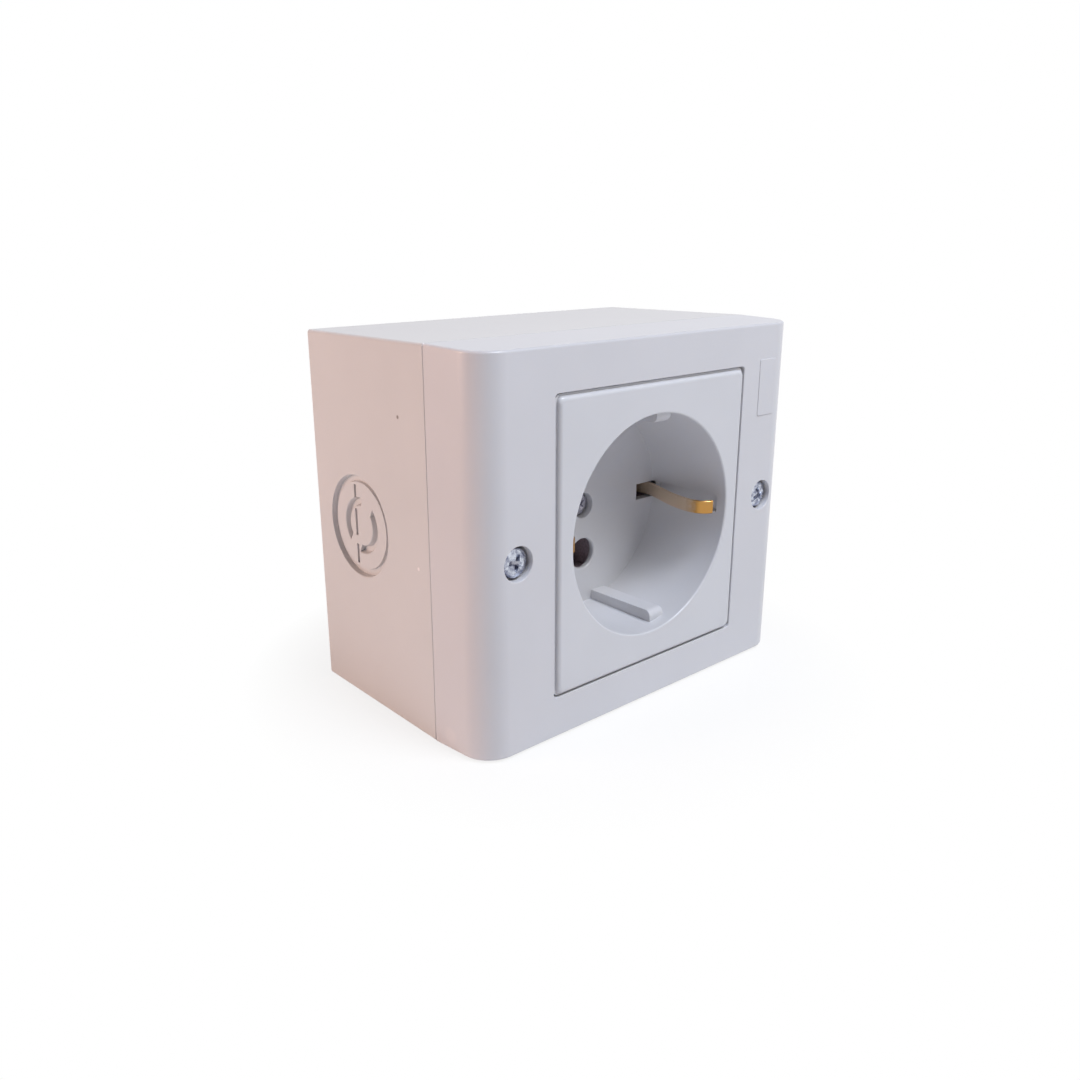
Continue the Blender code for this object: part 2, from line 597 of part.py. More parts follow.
def contact_base():
    """Insulating block with pockets for the contacts, and two ears that screw to the box."""
    base = centred_block("contact_base", BASE_WIDTH, (BASE_FRONT, BASE_BACK), BASE_HEIGHT)
    round_edges(base, lambda edge: runs_along(edge, 1), BASE_EDGE, 2)
    ear_end = BASE_SCREW_Z + EAR_MARGIN
    ears = centred_block("ears", EAR_WIDTH, (EAR_FRONT, EAR_BACK), 2 * ear_end)
    join(base, round_edges(ears, lambda edge: runs_along(edge, 1), EAR_MARGIN * 0.9, 4))
    open_front = BASE_FRONT - OVERRUN
    contact_side = CONTACT_SHOULDER + CONTACT_THICKNESS + TOUCH_GAP
    strap_half = STRAP_WIDTH / 2 + TOUCH_GAP
    cut(base, block("strap_channel", (-POCKET_END_X, POCKET_END_X), (open_front, POCKET_FLOOR),
                    (-strap_half, strap_half)))
    earth_pocket_x = TERMINAL_X - TERMINAL_WIDTH / 2 - TOUCH_GAP
    cut(base, block("earth_pocket", (earth_pocket_x, POCKET_END_X), (open_front, POCKET_FLOOR),
                    (-PIN_Z - POCKET_HEIGHT / 2, 0.0)))
    wire_depth = METAL_FRONT - WIRE_SPACE / 2
    tip_end = METAL_BACK + TERMINAL_TIP + TOUCH_GAP
    for side in (-1, 1):
        z = side * PIN_Z
        cut(base, block("pole_pocket", (-POCKET_END_X, contact_side), (open_front, POCKET_FLOOR),
                        (z - POCKET_HEIGHT / 2, z + POCKET_HEIGHT / 2)))
        cut(base, cross_rod("wire_hole", WIRE_HOLE_RADIUS, (-BASE_WIDTH / 2 - OVERRUN, -TERMINAL_X),
                            wire_depth, z))
        cut(base, rod("terminal_tip_hole", TERMINAL_SHANK_RADIUS + TOUCH_GAP, (METAL_BACK, tip_end),
                      x=-TERMINAL_X, z=z))
        cut(base, rod("ear_hole", BASE_SHANK_RADIUS + TOUCH_GAP,
                      (EAR_FRONT - OVERRUN, EAR_BACK + OVERRUN), z=side * BASE_SCREW_Z))
    cut(base, cross_rod("earth_wire_hole", WIRE_HOLE_RADIUS, (TERMINAL_X, BASE_WIDTH / 2 + OVERRUN),
                        wire_depth, -PIN_Z))
    cut(base, rod("earth_tip_hole", TERMINAL_SHANK_RADIUS + TOUCH_GAP, (METAL_BACK, tip_end),
                  x=TERMINAL_X, z=-PIN_Z))
    boss_radius = PLATE_HEAD_RADIUS + TOUCH_GAP + PLATE_BOSS_WALL + TOUCH_GAP
    cut(base, rod("boss_recess", boss_radius, (open_front, PLATE_BOSS_BACK + TOUCH_GAP)))
    cut(base, rod("base_centre_hole", PLATE_SHANK_RADIUS + TOUCH_GAP, (open_front, BASE_BACK + OVERRUN)))
    nut_room = NUT_WIDTH + 2 * TOUCH_GAP
    cut(base, centred_block("nut_pocket", nut_room,
                            (BASE_BACK - NUT_THICKNESS - TOUCH_GAP, BASE_BACK + OVERRUN), nut_room))
    return as_piece(base, GREY_RESIN)


def pole_contact(name, side):
    """Forked spring contact: a sprung fork round the pin and a tail to its terminal."""
    z = side * PIN_Z
    middle = (METAL_FRONT + METAL_BACK) / 2
    mouth = BASE_FRONT + CONTACT_SETBACK
    centre = CONTACT_GRIP + CONTACT_THICKNESS / 2
    length = METAL_FRONT - mouth
    leaf = [(-CONTACT_SHOULDER, mouth), (-centre, mouth + length * 0.28),
            (-CONTACT_SHOULDER, mouth + length * 0.62), (-CONTACT_SHOULDER, middle)]
    other_leaf = [(-x, depth) for x, depth in reversed(leaf)]
    path = smooth_path(leaf, 4) + smooth_path(other_leaf, 4)
    fork = strip(name, path, CONTACT_HEIGHT, CONTACT_THICKNESS, z=z)
    join(fork, block("contact_tail", (-TERMINAL_X - TERMINAL_WIDTH / 2,
                                      CONTACT_SHOULDER + CONTACT_THICKNESS / 2),
                     (METAL_FRONT, METAL_BACK), (z - CONTACT_HEIGHT / 2, z + CONTACT_HEIGHT / 2)))
    cut(fork, rod("tail_hole", TERMINAL_SHANK_RADIUS + TOUCH_GAP,
                  (METAL_FRONT - OVERRUN, METAL_BACK + OVERRUN), x=-TERMINAL_X, z=z))
    return as_piece(fork, BRASS)


def clip_path():
    """Half of the strap seen from above: from the clip's tip back to the strap's corner."""
    tip = (CLIP_ROOT_X - CLIP_BULGE + CLIP_TIP_RETURN, PLATE_FRONT + CLIP_TIP_SETBACK)
    bulge = (CLIP_ROOT_X - CLIP_BULGE, PLATE_FRONT + CLIP_BULGE_SETBACK)
    root = (CLIP_ROOT_X, WELL_BOTTOM)
    slope = (CLIP_ROOT_X - CLIP_BULGE * 0.45, (bulge[1] + root[1]) / 2)
    return smooth_path([tip, bulge, slope, root, (CLIP_ROOT_X, BASE_FRONT + TOUCH_GAP)], 5)


def earth_strap():
    """One strip of brass: a bar across the base with its two ends bent up into earth clips."""
    middle = (METAL_FRONT + METAL_BACK) / 2
    clip = [(x, depth) for x, depth in clip_path()]
    half = clip + [(CLIP_ROOT_X, middle)]
    path = half + [(-x, depth) for x, depth in reversed(half)]
    strap = strip("earth_strap", path, CLIP_WIDTH, STRAP_THICKNESS)
    end_x = CLIP_ROOT_X - STRAP_THICKNESS
    join(strap, block("strap_bar", (-end_x, end_x), (METAL_FRONT, METAL_BACK),
                      (-STRAP_WIDTH / 2, STRAP_WIDTH / 2)))
    tab_x = (TERMINAL_X - TERMINAL_WIDTH / 2, TERMINAL_X + TERMINAL_WIDTH / 2)
    join(strap, block("strap_tab", tab_x, (METAL_FRONT, METAL_BACK),
                      (-PIN_Z - CONTACT_HEIGHT / 2, 0.0)))
    for name, radius, x, z in (("strap_centre_hole", PLATE_SHANK_RADIUS, 0.0, 0.0),
                               ("strap_tab_hole", TERMINAL_SHANK_RADIUS, TERMINAL_X, -PIN_Z)):
        cut(strap, rod(name, radius + TOUCH_GAP, (METAL_FRONT - OVERRUN, METAL_BACK + OVERRUN), x=x, z=z))
    return as_piece(strap, BRASS)


def clamp_plate(name, x, z):
    """Small plate under a terminal screw that presses on the wire."""
    front = TERMINAL_HEAD_BACK + TOUCH_GAP
    plate = centred_block(name, TERMINAL_WIDTH, (front, front + CLAMP_THICKNESS), CONTACT_HEIGHT, x=x, z=z)
    cut(plate, rod("clamp_hole", TERMINAL_SHANK_RADIUS + TOUCH_GAP,
                   (front - OVERRUN, front + CLAMP_THICKNESS + OVERRUN), x=x, z=z))
    return as_piece(plate, ZINC_STEEL)


def screw(name, head_radius, head, shank_radius, end, x=0.0, z=0.0, crossed=True):
    """A screw with a rounded head edge and a cross or a slot in it."""
    body = rod(name, head_radius, head, x=x, z=z)
    round_edges(body, lambda edge: at_depth(edge, head[0]), (head[1] - head[0]) * 0.4, 2)
    join(body, rod("shank", shank_radius, (head[1] - TOUCH_GAP, end), x=x, z=z))
    opening = (head[0] - OVERRUN, head[0] + (CROSS_SINK if crossed else SLOT_SINK))
    if crossed:
        span = 2 * (head_radius - CROSS_MARGIN)
        cut(body, centred_block("cross_bar", span, opening, CROSS_WIDTH, x=x, z=z))
        cut(body, centred_block("cross_bar", CROSS_WIDTH, opening, span, x=x, z=z))
    else:
        cut(body, centred_block("head_slot", 2 * head_radius + OVERRUN, opening, CROSS_WIDTH, x=x, z=z))
    return as_piece(body, ZINC_STEEL)


def cover_fastening(side, word):
    """A cover screw and the brass bush that it screws into."""
    x = side * COVER_SCREW_X
    screw("cover_screw_" + word, COVER_HEAD_RADIUS, (COVER_HEAD_SINK, COVER_HEAD_BACK),
          COVER_SHANK_RADIUS, COVER_SCREW_END, x=x)
    front = BOX_FRONT + TOUCH_GAP
    bush = rod("cover_insert_" + word, BUSH_RADIUS, (front, front + BUSH_LENGTH), x=x)
    cut(bush, rod("bush_bore", COVER_HOLE_RADIUS, (front - OVERRUN, front + BUSH_LENGTH + OVERRUN), x=x))
    as_piece(bush, BRASS)


def plate_fastening():
    """The screw in the well's floor and the square nut behind the base."""
    nut_front = BASE_BACK - NUT_THICKNESS
    screw("plate_screw", PLATE_HEAD_RADIUS, (PLATE_HEAD_FRONT, PLATE_HEAD_BACK),
          PLATE_SHANK_RADIUS, BASE_BACK + OVERRUN)
    nut = centred_block("plate_nut", NUT_WIDTH, (nut_front, BASE_BACK), NUT_WIDTH)
    cut(nut, rod("nut_bore", PLATE_SHANK_RADIUS + TOUCH_GAP, (nut_front - OVERRUN, BASE_BACK + OVERRUN)))
    as_piece(nut, ZINC_STEEL)


def terminal(word, x, z):
    """Screw and clamp plate of one wire terminal."""
    clamp_plate(word + "_clamp_plate", x, z)
    head = (TERMINAL_HEAD_BACK - TERMINAL_HEAD_HEIGHT, TERMINAL_HEAD_BACK)
    screw(word + "_terminal_screw", TERMINAL_HEAD_RADIUS, head, TERMINAL_SHANK_RADIUS,
          METAL_BACK + TERMINAL_TIP, x=x, z=z, crossed=False)


def base_screws():
    head_back = EAR_FRONT - TOUCH_GAP
    for word, side in (("upper", 1), ("lower", -1)):
        screw("base_screw_" + word, BASE_HEAD_RADIUS, (head_back - BASE_HEAD_HEIGHT, head_back),
              BASE_SHANK_RADIUS, head_back + BASE_SHANK_LENGTH, z=side * BASE_SCREW_Z)


clear_scene()
SOCKET = make_collection("surface_mounted_socket")
TOOLS = make_collection("shaping_tools")
WHITE_ABS = material("white moulded ABS", (0.80, 0.80, 0.81), 0.28)
GREY_RESIN = material("grey moulded resin", (0.30, 0.30, 0.31), 0.55)
BRASS = material("brass sheet", (0.78, 0.53, 0.22), 0.32, 1.0)
ZINC_STEEL = material("zinc plated steel", (0.66, 0.68, 0.70), 0.30, 1.0)

back_box()
front_cover()
socket_plate()
contact_base()
pole_contact("live_contact", 1)
pole_contact("neutral_contact", -1)
earth_strap()
terminal("live", -TERMINAL_X, PIN_Z)
terminal("neutral", -TERMINAL_X, -PIN_Z)
terminal("earth", TERMINAL_X, -PIN_Z)
cover_fastening(-1, "left")
cover_fastening(1, "right")
plate_fastening()
base_screws()
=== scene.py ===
"""Surface mounted earthed socket: its visible mouldings, screws and clips, and a small studio.

Laid out as an add-on and run as a script. Lengths are in metres, X points right, Y into the wall
and Z up, and the origin is the centre of the face on the wall.
"""
import math

import bmesh
import bpy
from bpy.props import FloatProperty, FloatVectorProperty, IntProperty, PointerProperty
from bpy.types import Operator, Panel, PropertyGroup
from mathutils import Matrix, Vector


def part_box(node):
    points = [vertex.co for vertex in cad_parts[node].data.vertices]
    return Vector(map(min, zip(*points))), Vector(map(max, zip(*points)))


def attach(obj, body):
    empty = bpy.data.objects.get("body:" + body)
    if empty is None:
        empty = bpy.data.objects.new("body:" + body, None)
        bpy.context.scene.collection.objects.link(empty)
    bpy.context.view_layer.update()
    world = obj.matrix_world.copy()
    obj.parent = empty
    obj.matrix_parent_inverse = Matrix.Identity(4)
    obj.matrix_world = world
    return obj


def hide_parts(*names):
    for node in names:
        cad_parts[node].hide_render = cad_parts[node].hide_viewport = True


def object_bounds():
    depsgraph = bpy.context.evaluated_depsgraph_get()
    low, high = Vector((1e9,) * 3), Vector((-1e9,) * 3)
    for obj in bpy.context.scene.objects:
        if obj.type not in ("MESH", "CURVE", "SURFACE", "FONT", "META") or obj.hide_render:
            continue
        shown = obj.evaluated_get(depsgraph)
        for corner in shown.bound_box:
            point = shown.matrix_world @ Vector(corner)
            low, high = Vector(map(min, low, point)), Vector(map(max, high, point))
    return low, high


bl_info = {
    "name": "Surface Mounted Socket",
    "version": (1, 0, 0),
    "blender": (4, 5, 0),
    "location": "View3D > Sidebar > Socket",
    "description": "Builds a surface mounted earthed socket and a plain studio round it",
    "category": "Object",
}

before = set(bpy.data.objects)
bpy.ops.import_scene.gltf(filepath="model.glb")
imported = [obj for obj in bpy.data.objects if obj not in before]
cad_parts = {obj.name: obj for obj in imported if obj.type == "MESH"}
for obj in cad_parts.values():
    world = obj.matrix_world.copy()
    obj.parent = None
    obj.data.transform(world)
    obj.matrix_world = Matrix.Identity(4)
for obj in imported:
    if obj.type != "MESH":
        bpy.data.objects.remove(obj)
CAD_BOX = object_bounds()
COVER_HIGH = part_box("front_cover")[1]
BOX_LOW, BOX_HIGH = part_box("back_box")
PLATE_LOW, PLATE_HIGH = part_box("socket_plate")
STRAP_LOW, STRAP_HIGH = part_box("earth_strap")
PLATE_SCREW_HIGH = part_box("plate_screw")[1]

MM = 0.001
BODY = "root"

# From the cover's front face to the wall; depths count back from that face
HOUSING_DEPTH = 48.2 * MM
FRONT_Y = BOX_HIGH.y - HOUSING_DEPTH

# How far a tool body reaches past the face that it cuts or joins, and the least distance of two points
PAST = 1.0 * MM
TINY = 1e-6
# How far the middle point of a small round lies in from both faces, as a share of its radius
ROUND_MIDDLE = 0.3


def hex_to_linear(code):
    """A colour such as "#dfe0e4" as linear red, green, blue and alpha."""
    channels = [int(code[place:place + 2], 16) / 255 for place in (1, 3, 5)]
    linear = [c / 12.92 if c <= 0.04045 else ((c + 0.055) / 1.055) ** 2.4 for c in channels]
    return (*linear, 1.0)


def length(label, text, value):
    """A length in metres, for the sidebar."""
    return FloatProperty(name=label, description=text, default=value, min=0.0, unit="LENGTH",
                         subtype="DISTANCE", precision=5)


def turn(label, text, degrees):
    """An angle for the sidebar, given in degrees."""
    return FloatProperty(name=label, description=text, default=math.radians(degrees), unit="ROTATION",
                         subtype="ANGLE")


def colour(label, text, code):
    """A colour for the sidebar, given as a hex code."""
    return FloatVectorProperty(name=label, description=text, default=hex_to_linear(code), size=4,
                               min=0.0, max=1.0, subtype="COLOR")


class SocketHousing(PropertyGroup):
    """Sizes of the wall box and the cover"""
    seam_width: length("Width", "Width of the housing at its seam", BOX_HIGH.x - BOX_LOW.x)
    seam_height: length("Height", "Height of the housing at its seam", BOX_HIGH.z - BOX_LOW.z)
    cover_depth: length("Cover depth", "Depth of the cover", COVER_HIGH.y - FRONT_Y)
    cover_draft: length("Cover draft", "Narrowing of each side of the cover to its front", 0.35 * MM)
    box_draft: length("Box draft", "Narrowing of each side of the box to the wall", 0.45 * MM)
    cover_wall: length("Cover wall", "Wall of the cover", 2.2 * MM)
    box_wall: length("Box wall", "Wall of the box", 2.4 * MM)
    upright_radius: length("Upright edges", "Radius of the two upright front edges", 5.4 * MM)
    edge_radius: length("Fine edges", "Radius of the other outer edges", 0.45 * MM)
    seam_gap: length("Seam", "Gap that shows between box and cover", 0.14 * MM)
    window_width: length("Window width", "Width of the cover's window", 47.2 * MM)
    window_height: length("Window height", "Height of the cover's window", 51.3 * MM)
    window_corner: length("Window corners", "Radius of the window's corners", 0.7 * MM)
    lip_radius: length("Lip", "Radius on the front lips of window and screw holes", 0.16 * MM)
    pad_width: length("Pad width", "Width of the bare pad", 4.9 * MM)
    pad_height: length("Pad height", "Height of the bare pad", 10.6 * MM)
    pad_place: length("Pad place", "Distance of the pad's middle from the middle", 30.7 * MM)
    pad_rise: length("Pad rise", "Height of the pad's middle", 21.2 * MM)
    pad_proud: length("Pad proud", "How far the bare pad stands out", 0.14 * MM)
    knockout_from_wall: length("Knock-out place", "Knock-out's distance from the wall", 13.9 * MM)
    knockout_radius: length("Knock-out", "Outer radius of the cable knock-out", 9.1 * MM)
    knockout_groove: length("Disc groove", "Width of the groove round the knock-out's disc", 1.25 * MM)
    knockout_groove_sink: length("Disc groove depth", "Depth of the groove round the disc", 1.0 * MM)
    knockout_inner_radius: length("Inner ring", "Outer radius of the inner ring groove", 5.0 * MM)
    knockout_inner_groove: length("Inner groove", "Width of the inner ring groove", 1.35 * MM)
    knockout_sink: length("Groove depth", "Depth of the knock-out's ring groove and slits", 1.35 * MM)
    knockout_disc_sink: length("Disc sink", "How far the knock-out's disc lies back", 0.5 * MM)
    knockout_rim: length("Rims", "Radius on the rims of disc and groove", 0.25 * MM)
    bridge_width: length("Bridge", "Width of the bridge over the inner ring", 3.2 * MM)
    bridge_turn: turn("Bridge turn", "Turn of the bridge from the upright", 28.0)
    slit_offset: length("Slit place", "Distance of the slits from the middle, to the wall", 1.45 * MM)
    slit_width: length("Slits", "Width of the upright slits", 0.65 * MM)
    slit_reach: length("Slit reach", "How far the slits reach from the middle", 7.2 * MM)
    slit_break: length("Slit break", "Length left below the middle slit, and half of it above", 1.6 * MM)
    tongue_inset: length("Tongue inset", "Distance of the box's tongue from the outside", 1.4 * MM)
    tongue_reach: length("Tongue reach", "How far the tongue goes into the cover", 2.2 * MM)
    rebate_inset: length("Rebate inset", "Distance of the cover's rebate from the outside", 1.1 * MM)
    rebate_depth: length("Rebate depth", "Depth of the cover's rebate", 2.7 * MM)
    collar: length("Collar", "Wall of the collar round the window", 1.2 * MM)
    collar_depth: length("Collar depth", "Depth of that collar", 5.5 * MM)
    boss_radius: length("Bosses", "Radius of the cover's screw bosses", 4.2 * MM)
    post_radius: length("Screw posts", "Radius of the box's posts for the cover screws", 4.4 * MM)
    bush_radius: length("Bush holes", "Radius of the holes for the brass bushes", 3.1 * MM)
    bush_depth: length("Bush hole depth", "Depth of those holes", 7.6 * MM)
    base_post_radius: length("Base posts", "Radius of the posts for the contact base", 3.4 * MM)
    base_post_front: length("Base post front", "Depth where those posts start", 26.0 * MM)
    base_post_inset: length("Base post place", "Distance of those posts from the outside", 6.85 * MM)
    pilot_radius: length("Pilot holes", "Radius of the holes in those posts", 1.7 * MM)
    pilot_end: length("Pilot hole end", "Depth where those holes end", 35.0 * MM)
    wall_slot_place: length("Wall slot place", "Distance of the wall slots from the middle", 20.0 * MM)
    wall_slot_length: length("Wall slot length", "Length of the wall slots", 10.0 * MM)
    wall_slot_width: length("Wall slot width", "Width of the wall slots", 5.0 * MM)


class SocketWell(PropertyGroup):
    """Sizes of the plate and its plug well"""
    plate_proud: length("Proud", "How far the plate stands out of the cover", FRONT_Y - PLATE_LOW.y)
    plate_width: length("Plate width", "Width of the socket plate", PLATE_HIGH.x - PLATE_LOW.x)
    plate_height: length("Plate height", "Height of the socket plate", PLATE_HIGH.z - PLATE_LOW.z)
    plate_edge: length("Plate edge", "Radius of the plate's front edge", 0.75 * MM)
    plate_step: length("Plate step", "How far the plate's skirt steps out behind its front", 0.35 * MM)
    plate_step_depth: length("Step depth", "Depth of that step behind the cover's front", 0.45 * MM)
    plate_corner: length("Plate corners", "Radius of the plate's corners", 1.0 * MM)
    plate_thickness: length("Plate thickness", "Thickness of the plate", 2.2 * MM)
    skirt_depth: length("Skirt depth", "Depth of the plate's skirt", 5.3 * MM)
    well_radius: length("Well radius", "Radius of the plug well at its mouth", 19.8 * MM)
    well_depth: length("Well depth", "Depth of the plug well", 18.0 * MM)
    well_draft: length("Well draft", "Narrowing of the well to its floor", 0.4 * MM)
    well_wall: length("Well wall", "Wall of the well", 1.5 * MM)
    well_floor: length("Well floor", "Thickness of the well's floor", 1.8 * MM)
    well_lip: length("Well lip", "Radius of the well's lip", 0.35 * MM)
    pin_spacing: length("Pin spacing", "Distance between the pin holes", 19.0 * MM)
    pin_radius: length("Pin holes", "Radius of the pin holes", 2.95 * MM)
    pin_lead: length("Pin lead", "Width of the pin holes' lead", 0.3 * MM)
    pin_depth: length("Pin hole depth", "Depth where the pin holes open out at the back", 0.9 * MM)
    rib_offset: length("Rib place", "Where the guide ribs start beside the middle", 2.4 * MM)
    rib_width: length("Rib width", "Width of the guide ribs", 3.6 * MM)
    rib_height: length("Rib height", "Height of the guide ribs over the well's wall", 2.35 * MM)
    rib_setback: length("Rib setback", "Distance of the ribs' noses from the plate's front", 2.6 * MM)
    rib_nose: length("Rib nose", "Radius of the ribs' noses", 1.3 * MM)
    slot_width: length("Earth slot width", "Width of the slots for the earth clips", 3.2 * MM)
    slot_length: length("Earth slot length", "Reach of the earth slots into the floor", 4.8 * MM)
    slot_window: length("Earth window", "Height of the slots in the well's wall", 0.8 * MM)
    slot_groove: length("Earth groove", "Depth of the grooves behind the clips", 0.9 * MM)
    slot_groove_setback: length("Groove start", "Distance of the grooves from the front", 2.1 * MM)
    floor_radius: length("Floor radius", "Radius where the well's wall meets its floor", 0.06 * MM)
    boss_radius: length("Boss", "Radius of the boss behind the well's floor", 3.6 * MM)
    boss_end: length("Boss end", "Depth where that boss ends", 21.2 * MM)
    plate_wall: length("Skirt wall", "Wall of the plate's skirt", 1.2 * MM)
    ring_steps: IntProperty(name="Ring steps", description="Steps round the well", default=192)


class SocketMetal(PropertyGroup):
    """Sizes of the screws and the earth strap"""
    cover_head_radius: length("Cover head", "Radius of the cover screws' heads", 2.45 * MM)
    cover_hole_radius: length("Cover hole", "Radius of the holes round those heads", 2.9 * MM)
    cover_head_height: length("Cover head height", "Height of the cover screws' heads", 2.05 * MM)
    cover_head_sink: length("Cover head sink", "How deep the heads lie", 0.35 * MM)
    cover_shank_radius: length("Cover shank", "Radius of the cover screws", 1.6 * MM)
    plate_head_radius: length("Plate head", "Radius of the plate screw's head", 2.1 * MM)
    plate_head_height: length("Plate head height", "Height of the plate screw's head", 1.3 * MM)
    plate_head_sink: length("Plate head sink", "How deep its head lies in the floor", 1.0 * MM)
    plate_shank_radius: length("Plate shank", "Radius of the plate screw", 1.4 * MM)
    cross_width: length("Cross width", "Width of the crosses in the heads", 0.85 * MM)
    cross_sink: length("Cross depth", "Depth of the crosses", 0.8 * MM)
    clearance: length("Clearance", "Width of the gap round a head or a shank", 0.3 * MM)
    shank_length: length("Shank length", "Length of the cover screws behind their heads", 19.0 * MM)
    left_turn: turn("Left cross", "Turn of the left screw's cross", -13.0)
    right_turn: turn("Right cross", "Turn of the right screw's cross", 24.0)
    well_turn: turn("Well cross", "Turn of the well screw's cross", 40.0)
    clip_width: length("Clip width", "Width of the earth clips", 2.45 * MM)
    strap_thickness: length("Strap sheet", "Thickness of the strap's sheet", 0.7 * MM)
    strap_width: length("Strap width", "Width of the strap's bar", 5.6 * MM)
    clip_root: length("Clip root", "Distance of the clips' roots from the middle", 18.8 * MM)
    bar_thickness: length("Bar sheet", "Thickness of the strap's bar", 0.8 * MM)
    tab_start: length("Tab start", "Where the strap's tab starts, from its left end", 31.2 * MM)
    tab_end: length("Tab end", "Where that tab ends", 38.0 * MM)


class SocketColours(PropertyGroup):
    """Colours of the finishes"""
    cover: colour("Cover", "Colour of the cover", "#d0cfd2")
    box: colour("Box", "Colour of the wall box", "#cfcdcd")
    plate: colour("Plate", "Colour of the plate and well", "#d0d0d3")
    brass: colour("Brass", "Colour of the brass", "#ba8b4d")
    brass_dull: colour("Dull brass", "Colour of the brass where it has dulled", "#b08d5f")
    # Painted shade and reflection: the brass's colour deep in the well, standing in for the dim light and
    # the reflected well walls there
    brass_tarnished: colour("Painted deep shade", "Colour of the brass deep in the well", "#dcc6ae")
    zinc: colour("Zinc", "Colour of the zinc plate", "#cdd2de")
    zinc_dull: colour("Dull zinc", "Colour of the zinc plate where it has dulled", "#70748c")
    worn_zinc: colour("Worn zinc", "Colour of the screw in the well", "#b0afbb")
    worn_zinc_dull: colour("Worn dull zinc", "Colour of that screw where it has dulled", "#a2a1ad")
    # Painted shade: the dark colour mixed into the screws' crosses stands in for their shadow
    dirt: colour("Painted shade", "Colour of the dirt in the screws' crosses", "#6b6068")
    # Partly painted light: the contact base gets a paler colour than its own, standing in for the light
    # that reaches it inside the housing
    resin: colour("Resin", "Colour of the contact base", "#c0b0ba")
    speck: colour("Speck", "Colour of the dark speck on the box", "#857a74")
    pale_speck: colour("Pale speck", "Colour of the pale speck on the box", "#ece6e6")
    smudge: colour("Smudge", "Colour of the faint smudge on the cover", "#d5d3d5")


class SocketStage(PropertyGroup):
    """Camera and floor"""
    camera_place: FloatVectorProperty(name="Camera", description="Place of the camera", size=3,
                                      default=(-0.12463, -0.15686, 0.04957), unit="LENGTH")
    camera_turn: turn("Turn", "Camera's turn from +Y to the right", 41.987)
    camera_tilt: turn("Tilt", "Camera's tilt below the horizon", 17.647)
    camera_lens: FloatProperty(name="Lens", description="Focal length on a 36 mm sensor",
                               default=32.568)
    floor_size: length("Floor", "Half the width of the floor", 1.6)


# Small tools for meshes

def depth_to_y(depth):
    """The Y place of a depth behind the cover's front face."""
    return FRONT_Y + depth


def mesh_object(name, bm):
    """A mesh object in the scene, with its faces turned outwards."""
    bmesh.ops.recalc_face_normals(bm, faces=bm.faces)
    mesh = bpy.data.meshes.new(name)
    bm.to_mesh(mesh)
    bm.free()
    obj = bpy.data.objects.new(name, mesh)
    bpy.context.scene.collection.objects.link(obj)
    return obj


def loft(name, loops, endless=False):
    """A closed body through loops of points that all have the same count; endless makes a ring of it."""
    bm = bmesh.new()
    rings = [[bm.verts.new(point) for point in loop] for loop in loops]
    for near, far in zip(rings, rings[1:] + (rings[:1] if endless else [])):
        for index in range(len(near)):
            after = (index + 1) % len(near)
            bm.faces.new((near[index], near[after], far[after], far[index]))
    if not endless:
        bm.faces.new(list(reversed(rings[0])))
        bm.faces.new(rings[-1])
    return mesh_object(name, bm)


def rounded_rectangle(width, height, radius, steps=6):
    """Corner points of a rectangle with rounded corners, as (x, z) pairs."""
    points = []
    for corner, (sx, sz) in enumerate(((1, 1), (-1, 1), (-1, -1), (1, -1))):
        centre = (sx * (width / 2 - radius), sz * (height / 2 - radius))
        for step in range(steps + 1):
            angle = math.pi / 2 * (corner + step / steps)
            points.append((centre[0] + radius * math.cos(angle), centre[1] + radius * math.sin(angle)))
    return points


def circle(radius, steps):
    """Points of a circle, as (x, z) pairs."""
    return [(radius * math.cos(math.tau * step / steps), radius * math.sin(math.tau * step / steps))
            for step in range(steps)]


def at_depth(loop, depth, x=0.0, z=0.0):
    """A loop of (x, z) pairs as points at one depth."""
    return [(x + point[0], depth_to_y(depth), z + point[1]) for point in loop]


def quarter(radius, steps):
    """Pairs of (inset, rise) along a quarter round, from the side to the face."""
    angles = [math.pi / 2 * step / steps for step in range(steps + 1)]
    return [(radius * (1 - math.cos(angle)), radius * (1 - math.sin(angle))) for angle in angles]


def rim_arc(radius, steps=3):
    """Pairs of (outwards, fall) along a softened rim, from the face to the side."""
    return [(rise, inset) for inset, rise in quarter(radius, steps)]


def flared_cutter(name, loop_at, depth, radius, steps=4, x=0.0, z=0.0):
    """A cutter whose mouth flares out in a quarter round; loop_at gives the loop grown by a length."""
    near, far = depth
    loops = [at_depth(loop_at(radius), near - PAST, x, z)]
    for inset, rise in quarter(radius, steps):
        loops.append(at_depth(loop_at(rise), near + inset, x, z))
    loops.append(at_depth(loop_at(0.0), far, x, z))
    return loft(name, loops)


def crowned_block(name, size, depth, corner, edge, x=0.0, z=0.0, steps=5):
    """A rounded rectangle between two depths, with a rounded front edge."""
    width, height = size
    near, far = depth
    loops = [at_depth(rounded_rectangle(width - 2 * rise, height - 2 * rise, corner), near + inset, x, z)
             for inset, rise in quarter(edge, steps)]
    loops.append(at_depth(rounded_rectangle(width, height, corner), far, x, z))
    return loft(name, loops)


def block(name, x, depth, z):
    """A box between two X places, two depths and two heights."""
    loop = [(x[0], z[0]), (x[1], z[0]), (x[1], z[1]), (x[0], z[1])]
    return loft(name, [at_depth(loop, depth[0]), at_depth(loop, depth[1])])


def slab(name, width, height, inset, depth):
    """A box about the middle, between two depths, this much inside a width and a height."""
    half_x, half_z = width / 2 - inset, height / 2 - inset
    return block(name, (-half_x, half_x), depth, (-half_z, half_z))


def turned(name, profile, x=0.0, z=0.0, steps=64):
    """A closed body turned about an axis along the depth, from (radius, depth) pairs."""
    loops = [at_depth(circle(radius, steps), depth, x, z) for radius, depth in profile]
    return loft(name, loops)


def rod(name, radius, depth, x=0.0, z=0.0, steps=64):
    """A round bar between two depths."""
    return turned(name, [(radius, depth[0]), (radius, depth[1])], x, z, steps)


